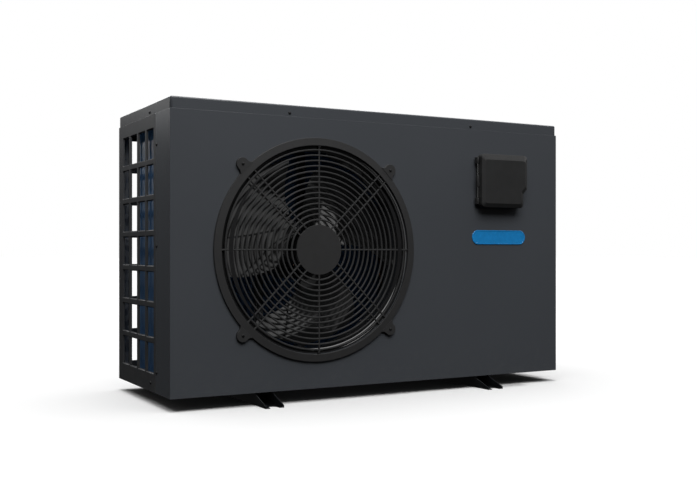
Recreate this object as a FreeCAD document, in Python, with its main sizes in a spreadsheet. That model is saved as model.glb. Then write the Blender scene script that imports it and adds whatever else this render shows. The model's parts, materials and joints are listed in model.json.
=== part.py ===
import FreeCAD, Part
import math
import os
import re
import Sketcher

from FreeCAD import Placement, Rotation, Vector

# Pool heat pump, front-discharge cabinet. Millimetres. +Z is up, the fan blows out
# towards -Y, the water unions stick out towards +X. The origin is on the ground,
# under the centre of the whole unit (cabinet, feet and unions).

DIMENSIONS = {
    "cabinet_width": 950,
    "cabinet_depth": 355,
    "cabinet_height": 580,
    "union_reach": 50,
    "panel_sheet": 1.5,
    "lid_sheet": 1.2,
    "lid_inset": 1.0,
    "lid_flange": 23.5,
    "tongue_height": 17,
    "tongue_relief": 5,
    "return_left": 91,
    "return_right": 25,
    "grille_plate": 4,
    "window_width": 48,
    "window_height": 62,
    "window_round": 3,
    "window_pitch": 57.5,
    "window_rise": 71.75,
    "window_first_rise": 37,
    "left_window_start": 103,
    "rear_window_start": 27,
    "rear_grille_width": 676,
    "foot_height": 25,
    "foot_width": 40,
    "foot_length": 451,
    "foot_sheet": 2,
    "foot_left": 197,
    "foot_right": 735,
    "fan_left": 317,
    "fan_rise": 285.5,
    "guard_outer": 230,
    "guard_inner": 214.5,
    "guard_plate": 6,
    "guard_wire": 4,
    "ear_radius": 13,
    "ear_reach": 240,
    "ring_first": 62,
    "ring_pitch": 11.03,
    "ring_width": 4,
    "spoke_width": 3.6,
    "spoke_spread": 10,
    "guard_disc": 51.5,
    "mouth_radius": 215,
    "mouth_round": 12,
    "mouth_depth": 60,
    "blade_tip": 197,
    "hub_radius": 44,
    "blade_sheet": 3.5,
    "shaft_radius": 6,
    "shaft_play": 0.05,
    "motor_radius": 62,
    "screw_head": 3.2,
    "head_rise": 2.25,
    "screw_shank": 1.9,
    "screw_hole": 2.1,
    "coil_left": 25,
    "coil_back": 15,
    "coil_thick": 44,
    "coil_bend": 55,
    "coil_front": 35,
    "coil_right": 632,
    "coil_low": 5.5,
    "coil_high": 536,
    "partition_left": 640,
    "compressor_left": 735,
    "compressor_back": 130,
    "compressor_radius": 62,
    "exchanger_left": 858,
    "exchanger_back": 235,
    "exchanger_radius": 75,
    "exchanger_wall": 5,
    "coil_radius": 50,
    "inlet_rise": 90,
    "outlet_rise": 330,
    "port_radius": 31,
    "pipe_bore": 25.1,
    "panel_port": 33,
    "tube_radius": 6,
    "controller_left": 716,
    "controller_low": 384,
    "controller_width": 120,
    "controller_height": 114,
    "controller_base_depth": 9,
    "cover_depth": 29,
    "cover_wall": 2.2,
    "bevel_depth": 5,
    "hinge_left": 713,
    "hinge_reach": 11.5,
    "hinge_radius": 3.2,
    "pin_radius": 1.5,
    "button_radius": 6,
    "button_play": 0.3,
    "badge_width": 150,
    "badge_height": 32,
    "badge_sheet": 1.6,
}

doc = FreeCAD.newDocument("pool_heat_pump")
sheet = doc.addObject("Spreadsheet::Sheet", "Dims")
for row, (alias, size) in enumerate(DIMENSIONS.items(), start=1):
    sheet.set(f"A{row}", alias)
    sheet.set(f"B{row}", str(size))
    sheet.setAlias(f"B{row}", alias)
doc.recompute()

# Faces of the cabinet, and places measured from its left, front and bottom faces.
LEFT = "(-(cabinet_width + union_reach) / 2)"
RIGHT = "((cabinet_width - union_reach) / 2)"
FRONT = "(-cabinet_depth / 2)"
BACK = "(cabinet_depth / 2)"
TOP = "(foot_height + cabinet_height)"
FLANGE_LOW = "(foot_height + cabinet_height - lid_flange)"
FAN_X = f"({LEFT} + fan_left)"
FAN_Z = "(foot_height + fan_rise)"
FLOOR = "(foot_height + panel_sheet)"

ALIAS = re.compile(r"\b[a-z]+_[a-z_]+\b")
SUBPARTS = {}


def across(size):
    """Distance to the right of the cabinet's left face."""
    return f"({LEFT} + {size})"


def behind(size):
    """Distance behind the cabinet's front face."""
    return f"({FRONT} + {size})"


def above(size):
    """Distance above the cabinet's bottom face."""
    return f"(foot_height + {size})"


def bound(size):
    """Write the sheet's name before each alias in a size."""
    return ALIAS.sub(lambda word: "Dims." + word.group(), f"({size})")


def bind(item, prop, size):
    item.setExpression(prop, bound(size))


def number(size):
    return float(sheet.evalExpression(bound(size)))


def point(x, y, z):
    return Vector(number(x), number(y), number(z))


def register(label, item):
    """Name an object as a sub-part of the unit."""
    item.Label = label
    SUBPARTS[label] = item
    return item


# ---------------------------------------------------------------- sketches and bodies

AXIS_SIGN = {"XY_Plane": 1, "XZ_Plane": -1, "YZ_Plane": 1}


def new_body(label):
    return register(label, doc.addObject("PartDesign::Body", label))


def origin_feature(body, role):
    return next(item for item in body.Origin.OriginFeatures if item.Role == role)


def new_sketch(body, role, level=0, turn=0):
    """Empty sketch on an origin plane, at a level along that plane's own axis."""
    sketch = body.newObject("Sketcher::SketchObject", body.Name + "_sketch")
    sketch.AttachmentSupport = [(origin_feature(body, role), "")]
    sketch.MapMode = "FlatFace"
    sketch.AttachmentOffset = Placement(Vector(), Rotation(Vector(0, 0, 1), turn))
    bind(sketch, "AttachmentOffset.Base.z", f"{AXIS_SIGN[role]} * ({level})")
    return sketch


def fix_point(sketch, geometry, end, x, y):
    for kind, size in (("DistanceX", x), ("DistanceY", y)):
        index = sketch.addConstraint(
            Sketcher.Constraint(kind, -1, 1, geometry, end, number(size)))
        bind(sketch, f"Constraints[{index}]", size)


def fix_radius(sketch, geometry, radius):
    index = sketch.addConstraint(Sketcher.Constraint("Radius", geometry, number(radius)))
    bind(sketch, f"Constraints[{index}]", radius)


def circle(sketch, x, y, radius):
    centre = Vector(number(x), number(y), 0)
    shape = Part.Circle(centre, Vector(0, 0, 1), number(radius))
    geometry = sketch.addGeometry(shape)
    fix_point(sketch, geometry, 3, x, y)
    fix_radius(sketch, geometry, radius)


def outline(sketch, corners):
    """Closed outline. A corner is (x, y), or (x, y, radius) between a level and an
    upright line, where a tangent arc rounds it."""
    count = len(corners)
    spots = [Vector(number(c[0]), number(c[1]), 0) for c in corners]
    radii = [number(c[2]) if len(c) > 2 else 0 for c in corners]
    starts = []
    ends = []
    for i in range(count):
        ahead = (spots[(i + 1) % count] - spots[i]).normalize()
        starts.append(spots[i] + ahead * radii[i])
        ends.append(spots[(i + 1) % count] - ahead * radii[(i + 1) % count])
    lines = [sketch.addGeometry(Part.LineSegment(a, b)) for a, b in zip(starts, ends)]
    for i in range(count):
        before = lines[i - 1]
        if not radii[i]:
            sketch.addConstraint(Sketcher.Constraint("Coincident", before, 2, lines[i], 1))
            fix_point(sketch, lines[i], 1, corners[i][0], corners[i][1])
            continue
        arrive = spots[i] - ends[i - 1]
        leave = starts[i] - spots[i]
        centre = ends[i - 1] + leave
        first = math.atan2(-leave.y, -leave.x)
        last = math.atan2(arrive.y, arrive.x)
        left_turn = arrive.x * leave.y - arrive.y * leave.x > 0
        round_edge = Part.Circle(centre, Vector(0, 0, 1), radii[i])
        if left_turn:
            arc = Part.ArcOfCircle(round_edge, first, last)
        else:
            arc = Part.ArcOfCircle(round_edge, last, first)
        corner = sketch.addGeometry(arc)
        near, far = (1, 2) if left_turn else (2, 1)
        sketch.addConstraint(Sketcher.Constraint("Tangent", before, 2, corner, near))
        sketch.addConstraint(Sketcher.Constraint("Tangent", corner, far, lines[i], 1))
        fix_radius(sketch, corner, corners[i][2])
    for i in range(count):
        if not radii[i] and not radii[(i + 1) % count]:
            continue
        level = abs(starts[i].y - ends[i].y) < abs(starts[i].x - ends[i].x)
        sketch.addConstraint(
            Sketcher.Constraint("Horizontal" if level else "Vertical", lines[i]))
        if radii[i] and radii[(i + 1) % count]:
            kind = "DistanceY" if level else "DistanceX"
            size = corners[i][1] if level else corners[i][0]
            index = sketch.addConstraint(
                Sketcher.Constraint(kind, -1, 1, lines[i], 1, number(size)))
            bind(sketch, f"Constraints[{index}]", size)


def rectangle(sketch, x0, y0, x1, y1, radius=None):
    corners = [(x0, y0), (x1, y0), (x1, y1), (x0, y1)]
    if radius is not None:
        corners = [corner + (radius,) for corner in corners]
    outline(sketch, corners)


def pad(sketch, length):
    """Add material from the sketch towards the positive end of its axis."""
    body = sketch.getParentGeoFeatureGroup()
    feature = body.newObject("PartDesign::Pad", body.Name + "_pad")
    feature.Profile = sketch
    feature.Reversed = sketch.AttachmentSupport[0][0].Role == "XZ_Plane"
    bind(feature, "Length", length)
    return feature


def pocket(sketch, length):
    """Cut material from the sketch towards the positive end of its axis."""
    body = sketch.getParentGeoFeatureGroup()
    feature = body.newObject("PartDesign::Pocket", body.Name + "_pocket")
    feature.Profile = sketch
    feature.Reversed = sketch.AttachmentSupport[0][0].Role != "XZ_Plane"
    bind(feature, "Length", length)
    return feature


def revolve(sketch, x, angle=360):
    """Turn the sketch about an upright line of its own plane at the given x."""
    body = sketch.getParentGeoFeatureGroup()
    middle = number(x)
    line = Part.LineSegment(Vector(middle, 0, 0), Vector(middle, 10, 0))
    axis = sketch.addGeometry(line, True)
    sketch.addConstraint(Sketcher.Constraint("Vertical", axis))
    fix_point(sketch, axis, 1, x, 0)
    index = sketch.addConstraint(Sketcher.Constraint("DistanceY", axis, 1, axis, 2, 10.0))
    bind(sketch, f"Constraints[{index}]", 10)
    feature = body.newObject("PartDesign::Revolution", body.Name + "_revolution")
    feature.Profile = sketch
    feature.ReferenceAxis = (sketch, ["Axis0"])
    feature.Angle = angle
    return feature


def repeat(features, role, count):
    """Polar pattern about one of the body's origin axes."""
    body = features[0].getParentGeoFeatureGroup()
    pattern = body.newObject("PartDesign::PolarPattern", body.Name + "_pattern")
    pattern.Originals = features
    pattern.Axis = (origin_feature(body, role), [""])
    pattern.Angle = 360
    pattern.Occurrences = count
    body.Tip = pattern
    return pattern


def pick_edges(feature, test):
    """Names of the feature's edges that pass a test."""
    doc.recompute()
    edges = enumerate(feature.Shape.Edges, start=1)
    return [f"Edge{index}" for index, edge in edges if test(edge)]


def dress(kind, feature, test, size):
    """Fillet or chamfer the edges that pass a test."""
    body = feature.getParentGeoFeatureGroup()
    names = pick_edges(feature, test)
    item = body.newObject("PartDesign::" + kind, body.Name + "_" + kind.lower())
    item.Base = (feature, names)
    bind(item, "Radius" if kind == "Fillet" else "Size", size)
    return item


def runs_along(edge, axis):
    """True for a straight edge parallel to an axis."""
    if len(edge.Vertexes) < 2 or not isinstance(edge.Curve, Part.Line):
        return False
    return abs(edge.Curve.Direction.dot(axis)) > 0.999


# ---------------------------------------------------------------- primitives

ALONG = {
    "X": Rotation(Vector(0, 1, 0), 90),
    "Y": Rotation(Vector(1, 0, 0), -90),
    "Z": Rotation(),
}


def place(item, x, y, z):
    for letter, size in zip("xyz", (x, y, z)):
        bind(item, f"Placement.Base.{letter}", size)
    return item


def box(x0, y0, z0, x1, y1, z1):
    item = doc.addObject("Part::Box", "block")
    bind(item, "Length", f"({x1}) - ({x0})")
    bind(item, "Width", f"({y1}) - ({y0})")
    bind(item, "Height", f"({z1}) - ({z0})")
    return place(item, x0, y0, z0)


def cylinder(axis, x, y, z, radius, length):
    """Cylinder from a point towards the positive end of an axis."""
    item = doc.addObject("Part::Cylinder", "round")
    item.Placement = Placement(Vector(), ALONG[axis])
    bind(item, "Radius", radius)
    bind(item, "Height", length)
    return place(item, x, y, z)


def hexagon(axis, x, y, z, across_flats, length):
    item = doc.addObject("Part::Prism", "hexagon")
    item.Polygon = 6
    item.Placement = Placement(Vector(), ALONG[axis])
    bind(item, "Circumradius", f"({across_flats}) / sqrt(3)")
    bind(item, "Height", length)
    return place(item, x, y, z)


def fuse(*items):
    joined = doc.addObject("Part::MultiFuse", "joined")
    joined.Shapes = list(items)
    return joined


def cut(base, *tools):
    item = doc.addObject("Part::Cut", "cut")
    item.Base = base
    item.Tool = tools[0] if len(tools) == 1 else fuse(*tools)
    return item


def group(label, shapes):
    """Separate solids, such as a set of fasteners, as one sub-part."""
    item = register(label, doc.addObject("Part::Feature", label))
    item.Shape = Part.makeCompound(shapes)
    return item


def tube_path(points, bend):
    """Straight runs joined by tangent arcs."""
    edges = []
    start = points[0]
    for here, after in zip(points[1:-1], points[2:]):
        arrive = (here - start).normalize()
        leave = (after - here).normalize()
        turn = arrive.getAngle(leave)
        trim = bend * math.tan(turn / 2)
        first = here - arrive * trim
        last = here + leave * trim
        reach = bend / math.cos(turn / 2) - bend
        middle = here + (leave - arrive).normalize() * reach
        edges.append(Part.LineSegment(start, first).toShape())
        edges.append(Part.Arc(first, middle, last).toShape())
        start = last
    edges.append(Part.LineSegment(start, points[-1]).toShape())
    return Part.Wire(edges)


def tube(points, radius, bend):
    """Round bar along a bent path."""
    path = tube_path(points, bend)
    start = points[0]
    ring = Part.Circle(start, points[1] - start, radius).toShape()
    return path.makePipeShell([Part.Wire(ring)], True, True)


def copper(stops, bend):
    """Copper pipe whose stops are measured from the left, front and bottom faces."""
    points = [point(across(x), behind(y), above(z)) for x, y, z in stops]
    return tube(points, number("tube_radius"), bend)


# ---------------------------------------------------------------- screws

LID_SCREWS_X = (252, 701.5)
LID_SCREW_Y = 131
LID_SCREW_RISE = 563
RETURN_SCREW_Y = 82.5
RETURN_SCREW_RISES = (493.5, 292.5, 42)
GRILLE_SCREW = (122, 17.5)
SIDE_SCREW_Y = 12
SIDE_SCREW_RISES = (520, 290, 60)
REAR_SCREW_X = 690
UP = Vector(0, 0, 1)
PANEL_SCREW = 8
GUARD_SCREW = 14


def screw(head, spot, length):
    """Pan-head screw whose head points along a direction and sits on the spot."""
    radius = number("screw_head")
    shank = number("screw_shank")
    rise = number("head_rise")
    profile = Part.Wire([
        Part.LineSegment(Vector(0, 0, -length), Vector(shank, 0, -length)).toShape(),
        Part.LineSegment(Vector(shank, 0, -length), Vector(shank, 0, 0)).toShape(),
        Part.LineSegment(Vector(shank, 0, 0), Vector(radius, 0, 0)).toShape(),
        Part.Arc(Vector(radius, 0, 0), Vector(0.75 * radius, 0, 0.68 * rise),
                 Vector(0, 0, rise)).toShape(),
        Part.LineSegment(Vector(0, 0, rise), Vector(0, 0, -length)).toShape(),
    ])
    shape = Part.Face(profile).revolve(Vector(), UP, 360)
    recess = Part.makeBox(0.8, 3.2, 1.2, Vector(-0.4, -1.6, 1.2))
    cross = recess.fuse(Part.makeBox(3.2, 0.8, 1.2, Vector(-1.6, -0.4, 1.2)))
    shape = shape.cut(cross)
    shape.Placement = Placement(spot, Rotation(UP, head))
    return shape


def screw_sets():
    forward = Vector(0, -1, 0)
    rear = Vector(0, 1, 0)
    left = Vector(-1, 0, 0)
    right = Vector(1, 0, 0)
    outer = []
    for x in LID_SCREWS_X:
        rise = above(LID_SCREW_RISE)
        outer.append(screw(forward, point(across(x), behind("lid_inset"), rise), PANEL_SCREW))
        outer.append(screw(rear, point(across(x), f"{BACK} - lid_inset", rise), PANEL_SCREW))
    for x, head in ((f"{LEFT} + lid_inset", left), (f"{RIGHT} - lid_inset", right)):
        outer.append(screw(head, point(x, behind(LID_SCREW_Y), above(LID_SCREW_RISE)), PANEL_SCREW))
    for rise in RETURN_SCREW_RISES:
        outer.append(screw(left, point(LEFT, behind(RETURN_SCREW_Y), above(rise)), PANEL_SCREW))
    outer.append(screw(left, point(LEFT, behind(GRILLE_SCREW[0]), above(GRILLE_SCREW[1])),
                       PANEL_SCREW))
    for rise in SIDE_SCREW_RISES:
        outer.append(screw(right, point(RIGHT, behind(SIDE_SCREW_Y), above(rise)), PANEL_SCREW))
        outer.append(screw(rear, point(across(REAR_SCREW_X), BACK, above(rise)), PANEL_SCREW))
    group("cabinet_screws", outer)

    guard = []
    reach = number("ear_reach") / math.sqrt(2)
    for side_x in (-1, 1):
        for side_z in (-1, 1):
            centre = point(FAN_X, f"{FRONT} - guard_plate", FAN_Z)
            spot = centre + Vector(side_x * reach, 0, side_z * reach)
            guard.append(screw(forward, spot, GUARD_SCREW))
    group("guard_screws", guard)


def holes(body, role, level, spots, depth, radius="screw_hole"):
    """Round holes through a wall, from a level towards the positive end of its axis."""
    sketch = new_sketch(body, role, level)
    for x, y in spots:
        circle(sketch, x, y, radius)
    return pocket(sketch, depth)


# ---------------------------------------------------------------- cabinet

FOOT_BOLT_X = 13.5
FOOT_BOLT_Y = 120
FOOT_BOLT_HOLE = 3.2
DRAIN = (470, 250)
SPOUT_RADIUS = 9
GLAND = (190, 470)
GLAND_NECK = 10


def base_pan():
    """Folded tray that carries everything and catches the condensate."""
    body = new_body("base_pan")
    x0 = f"({LEFT} + grille_plate + 0.2)"
    x1 = f"({RIGHT} - panel_sheet - 0.2)"
    y0 = f"({FRONT} + panel_sheet + 0.2)"
    y1 = f"({BACK} - grille_plate - 0.2)"
    tray = new_sketch(body, "XY_Plane", "foot_height")
    rectangle(tray, x0, y0, x1, y1, 4)
    pad(tray, 24)
    inside = new_sketch(body, "XY_Plane", FLOOR)
    rectangle(inside, f"{x0} + panel_sheet", f"{y0} + panel_sheet",
              f"{x1} - panel_sheet", f"{y1} - panel_sheet", 2.5)
    pocket(inside, 30)
    drain = new_sketch(body, "XY_Plane", "foot_height")
    circle(drain, across(DRAIN[0]), behind(DRAIN[1]), SPOUT_RADIUS + 0.1)
    for foot in ("foot_left", "foot_right"):
        for side_x in (-1, 1):
            for y in (-FOOT_BOLT_Y, FOOT_BOLT_Y):
                circle(drain, f"{across(foot)} + {side_x * FOOT_BOLT_X}", y, FOOT_BOLT_HOLE)
    pocket(drain, "panel_sheet")
    spots = [(behind(GRILLE_SCREW[0]), above(GRILLE_SCREW[1]))]
    holes(body, "YZ_Plane", LEFT, spots, 10)


def foot_rail(label, centre):
    """Folded channel from front to back, with an open notch in each tip."""
    body = new_body(label)
    x = across(centre)
    tip = "foot_length / 2"
    shoulder = "167.5"
    side = new_sketch(body, "YZ_Plane", f"{x} - foot_width / 2")
    outline(side, [(f"-{tip}", 0), (tip, 0), (tip, 5), (shoulder, "foot_height"),
                   (f"-{shoulder}", "foot_height"), (f"-{tip}", 5)])
    pad(side, "foot_width")
    channel = new_sketch(body, "XZ_Plane", f"-{tip}")
    rectangle(channel, f"{x} - foot_width / 2 + foot_sheet", "foot_sheet",
              f"{x} + foot_width / 2 - foot_sheet", "foot_height + 5")
    pocket(channel, "foot_length")
    for side_x in (-1, 1):
        lip = new_sketch(body, "XY_Plane", "foot_height - foot_sheet")
        outer = f"{x} + {side_x} * (foot_width / 2 - foot_sheet)"
        inner = f"{x} + {side_x} * 9"
        ends = (inner, outer) if side_x > 0 else (outer, inner)
        rectangle(lip, ends[0], -160, ends[1], 160)
        pad(lip, "foot_sheet")
        spots = [(f"{x} + {side_x} * {FOOT_BOLT_X}", y) for y in (-FOOT_BOLT_Y, FOOT_BOLT_Y)]
        holes(body, "XY_Plane", "foot_height - foot_sheet", spots, "foot_sheet",
              FOOT_BOLT_HOLE)
    for side_y in (-1, 1):
        notch = new_sketch(body, "XY_Plane", 0)
        far = f"{side_y} * ({tip} + 25)"
        apex = f"{side_y} * ({tip} - 20)"
        ends = (far, apex) if side_y < 0 else (apex, far)
        rectangle(notch, f"{x} - 10", ends[0], f"{x} + 10", ends[1], 9.9)
        pocket(notch, "foot_sheet")


def foot_bolts():
    """Hexagon bolts through the pan and the lips of the feet."""
    shapes = []
    flats = 10
    for foot in ("foot_left", "foot_right"):
        for side_x in (-1, 1):
            for y in (-FOOT_BOLT_Y, FOOT_BOLT_Y):
                spot = point(f"{across(foot)} + {side_x * FOOT_BOLT_X}", y, FLOOR)
                ring = [spot + Rotation(UP, 60 * k).multVec(Vector(flats / math.sqrt(3), 0, 0))
                        for k in range(7)]
                head = Part.Face(Part.makePolygon(ring)).extrude(UP * 4)
                shank = Part.makeCylinder(3, 12, spot, Vector(0, 0, -1))
                shapes.append(head.fuse(shank))
    group("foot_bolts", shapes)


def front_panel():
    """Front sheet, folded round both front corners, with the bell-mouth drawn in it."""
    body = new_body("front_panel")
    inset = "(lid_inset + lid_sheet + 0.2)"

    def strip(sketch, outer, inner):
        """Sheet that follows the two front corners, between two depths."""
        outline(sketch, [
            (f"{LEFT} + {outer}", behind("return_left")),
            (f"{LEFT} + {outer}", f"{FRONT} + {outer}"),
            (f"{RIGHT} - {outer}", f"{FRONT} + {outer}"),
            (f"{RIGHT} - {outer}", behind("return_right")),
            (f"{RIGHT} - {inner}", behind("return_right")),
            (f"{RIGHT} - {inner}", f"{FRONT} + {inner}"),
            (f"{LEFT} + {inner}", f"{FRONT} + {inner}"),
            (f"{LEFT} + {inner}", behind("return_left")),
        ])

    wall = new_sketch(body, "XY_Plane", "foot_height")
    strip(wall, 0, "panel_sheet")
    pad(wall, "cabinet_height - lid_flange")
    shelf = new_sketch(body, "XY_Plane", f"{FLANGE_LOW} - lid_sheet")
    strip(shelf, 0, f"({inset} + lid_sheet)")
    pad(shelf, "lid_sheet")
    tongue = new_sketch(body, "XY_Plane", FLANGE_LOW)
    strip(tongue, inset, f"({inset} + lid_sheet)")
    pad(tongue, "tongue_height")
    corners = [(f"{LEFT} + {inset}", f"{FRONT} + {inset}"),
               (f"{RIGHT} - {inset}", f"{FRONT} + {inset}")]
    holes(body, "XY_Plane", FLANGE_LOW, corners, "tongue_height", "tongue_relief")

    hole = new_sketch(body, "XZ_Plane", FRONT)
    circle(hole, FAN_X, FAN_Z, "mouth_radius")
    pocket(hole, "panel_sheet")
    lip = new_sketch(body, "XY_Plane", FAN_Z)
    bell_mouth(lip)
    revolve(lip, FAN_X)

    opening = new_sketch(body, "XZ_Plane", FRONT)
    rectangle(opening, f"{across('controller_left')} + 11", f"{above('controller_low')} + 11",
              f"{across('controller_left')} + controller_width - 11",
              f"{above('controller_low')} + controller_height - 11", 3)
    pocket(opening, "panel_sheet")
    reach = "(ear_reach / sqrt(2))"
    ears = [(f"{FAN_X} + {a} * {reach}", f"{FAN_Z} + {b} * {reach}")
            for a in (-1, 1) for b in (-1, 1)]
    holes(body, "XZ_Plane", FRONT, ears, "panel_sheet")
    lid = [(across(x), above(LID_SCREW_RISE)) for x in LID_SCREWS_X]
    holes(body, "XZ_Plane", FRONT, lid, 5)
    left = [(behind(RETURN_SCREW_Y), above(rise)) for rise in RETURN_SCREW_RISES]
    holes(body, "YZ_Plane", LEFT, left, "panel_sheet")
    right = [(behind(SIDE_SCREW_Y), above(rise)) for rise in SIDE_SCREW_RISES]
    holes(body, "YZ_Plane", f"{RIGHT} - panel_sheet", right, "panel_sheet")


def bell_mouth(sketch):
    """Section of the drawn lip: a quarter round and a short straight throat."""
    mouth = f"({FAN_X} + mouth_radius)"
    outer = number("mouth_round")
    inner = outer - number("panel_sheet")
    centre = Vector(number(mouth), number(behind("mouth_round")), 0)
    end = number(behind("mouth_depth"))

    def spot(radius, angle):
        turn = math.radians(angle)
        return centre + Vector(radius * math.cos(turn), radius * math.sin(turn), 0)

    def low(radius):
        return Vector(centre.x - radius, end, 0)

    rounds = [Part.ArcOfCircle(Part.Circle(centre, UP, radius), math.pi, 1.5 * math.pi)
              for radius in (outer, inner)]
    pieces = [rounds[0], Part.LineSegment(spot(outer, 270), spot(inner, 270)), rounds[1],
              Part.LineSegment(spot(inner, 180), low(inner)),
              Part.LineSegment(low(inner), low(outer)),
              Part.LineSegment(low(outer), spot(outer, 180))]
    for piece in pieces:
        sketch.addGeometry(piece)
    for join in [(0, 2, 1, 1), (1, 2, 2, 2), (3, 2, 4, 1), (4, 2, 5, 1)]:
        sketch.addConstraint(Sketcher.Constraint("Coincident", *join))
    for join in [(2, 1, 3, 1), (5, 2, 0, 1)]:
        sketch.addConstraint(Sketcher.Constraint("Tangent", *join))
    sketch.addConstraint(Sketcher.Constraint("Coincident", 0, 3, 2, 3))
    for line in (1, 3, 5):
        sketch.addConstraint(Sketcher.Constraint("Vertical", line))
    sketch.addConstraint(Sketcher.Constraint("Horizontal", 4))
    fix_point(sketch, 0, 3, mouth, behind("mouth_round"))
    fix_radius(sketch, 0, "mouth_round")
    fix_radius(sketch, 2, "mouth_round - panel_sheet")
    for kind, geometry, place_on, size in (("DistanceX", 0, 2, mouth),
                                           ("DistanceY", 3, 2, behind("mouth_depth"))):
        index = sketch.addConstraint(
            Sketcher.Constraint(kind, -1, 1, geometry, place_on, number(size)))
        bind(sketch, f"Constraints[{index}]", size)


def windows(body, role, level, start, columns, rows):
    """Grid of round-cornered windows cut through a grille."""
    sketch = new_sketch(body, role, level)
    low = above("window_first_rise")
    rectangle(sketch, start, low, f"{start} + window_width", f"{low} + window_height",
              "window_round")
    first = pocket(sketch, "grille_plate")
    grid = body.newObject("PartDesign::MultiTransform", body.Name + "_grid")
    grid.Originals = [first]
    steps = []
    for direction, pitch, count in (("H_Axis", "window_pitch", columns),
                                    ("V_Axis", "window_rise", rows)):
        step = doc.addObject("PartDesign::LinearPattern", body.Name + "_step")
        step.Direction = (sketch, [direction])
        step.Occurrences = count
        bind(step, "Length", f"{pitch} * {count - 1}")
        steps.append(step)
    grid.Transformations = steps
    body.Tip = grid


def left_grille():
    """Moulded grille in front of the coil, on the left side."""
    body = new_body("left_grille")
    seam = behind("return_left")
    plate = new_sketch(body, "YZ_Plane", LEFT)
    rectangle(plate, seam, "foot_height", BACK, FLANGE_LOW)
    pad(plate, "grille_plate")
    inset = f"({LEFT} + lid_inset + lid_sheet + 0.2)"
    tongue = new_sketch(body, "YZ_Plane", inset)
    rectangle(tongue, seam, FLANGE_LOW, f"{BACK} - grille_plate - 3",
              f"{FLANGE_LOW} + tongue_height")
    pad(tongue, "grille_plate - lid_inset - lid_sheet - 0.2")
    lap = new_sketch(body, "YZ_Plane", f"{LEFT} + panel_sheet")
    rectangle(lap, f"{seam} - 16", "foot_height", seam, f"{FLANGE_LOW} - lid_sheet - 2")
    pad(lap, "grille_plate - panel_sheet")
    spots = [(behind(RETURN_SCREW_Y), above(rise)) for rise in RETURN_SCREW_RISES]
    spots.append((behind(GRILLE_SCREW[0]), above(GRILLE_SCREW[1])))
    spots.append((behind(LID_SCREW_Y), above(LID_SCREW_RISE)))
    holes(body, "YZ_Plane", LEFT, spots, "grille_plate")
    windows(body, "YZ_Plane", LEFT, behind("left_window_start"), 4, 7)


def rear_grille():
    """Moulded grille in front of the coil, on the rear."""
    body = new_body("rear_grille")
    inner = f"({BACK} - grille_plate)"
    plate = new_sketch(body, "XZ_Plane", inner)
    rectangle(plate, f"{LEFT} + grille_plate", "foot_height",
              across("rear_grille_width"), FLANGE_LOW)
    pad(plate, "grille_plate")
    tongue = new_sketch(body, "XZ_Plane", inner)
    rectangle(tongue, f"{LEFT} + grille_plate + 3", FLANGE_LOW,
              across("rear_grille_width"), f"{FLANGE_LOW} + tongue_height")
    pad(tongue, "grille_plate - lid_inset - lid_sheet - 0.2")
    spots = [(across(LID_SCREWS_X[0]), above(LID_SCREW_RISE))]
    holes(body, "XZ_Plane", inner, spots, "grille_plate")
    windows(body, "XZ_Plane", inner, across("rear_window_start"), 11, 7)


def service_panel():
    """Folded sheet on the right side and the right of the rear."""
    body = new_body("service_panel")
    inset = "(lid_inset + lid_sheet + 0.2)"

    def strip(sketch, outer, inner):
        outline(sketch, [
            (f"{RIGHT} - {outer}", behind("return_right")),
            (f"{RIGHT} - {outer}", f"{BACK} - {outer}"),
            (across("rear_grille_width"), f"{BACK} - {outer}"),
            (across("rear_grille_width"), f"{BACK} - {inner}"),
            (f"{RIGHT} - {inner}", f"{BACK} - {inner}"),
            (f"{RIGHT} - {inner}", behind("return_right")),
        ])

    wall = new_sketch(body, "XY_Plane", "foot_height")
    strip(wall, 0, "panel_sheet")
    pad(wall, "cabinet_height - lid_flange")
    shelf = new_sketch(body, "XY_Plane", f"{FLANGE_LOW} - lid_sheet")
    strip(shelf, 0, f"({inset} + lid_sheet)")
    pad(shelf, "lid_sheet")
    tongue = new_sketch(body, "XY_Plane", FLANGE_LOW)
    strip(tongue, inset, f"({inset} + lid_sheet)")
    pad(tongue, "tongue_height")
    corner = [(f"{RIGHT} - {inset}", f"{BACK} - {inset}")]
    holes(body, "XY_Plane", FLANGE_LOW, corner, "tongue_height", "tongue_relief")
    lap = new_sketch(body, "YZ_Plane", f"{RIGHT} - 2 * panel_sheet")
    rectangle(lap, behind(4), above(40), behind("return_right + 10"), above(545))
    pad(lap, "panel_sheet")
    side = f"{RIGHT} - 3 * panel_sheet"
    ports = [(behind("exchanger_back"), above(rise)) for rise in ("inlet_rise", "outlet_rise")]
    holes(body, "YZ_Plane", side, ports, 10, "panel_port")
    holes(body, "YZ_Plane", side, [(behind(GLAND[0]), above(GLAND[1]))], 10,
          GLAND_NECK + 0.2)
    small = [(behind(SIDE_SCREW_Y), above(rise)) for rise in SIDE_SCREW_RISES]
    small.append((behind(LID_SCREW_Y), above(LID_SCREW_RISE)))
    holes(body, "YZ_Plane", side, small, 10)
    rear = [(across(REAR_SCREW_X), above(rise)) for rise in SIDE_SCREW_RISES]
    rear.append((across(LID_SCREWS_X[1]), above(LID_SCREW_RISE)))
    holes(body, "XZ_Plane", f"{BACK} - 5", rear, 10)
    access = new_sketch(body, "YZ_Plane", side)
    rectangle(access, behind(70), above(455), behind(140), above(540), 4)
    pocket(access, 10)


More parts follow.
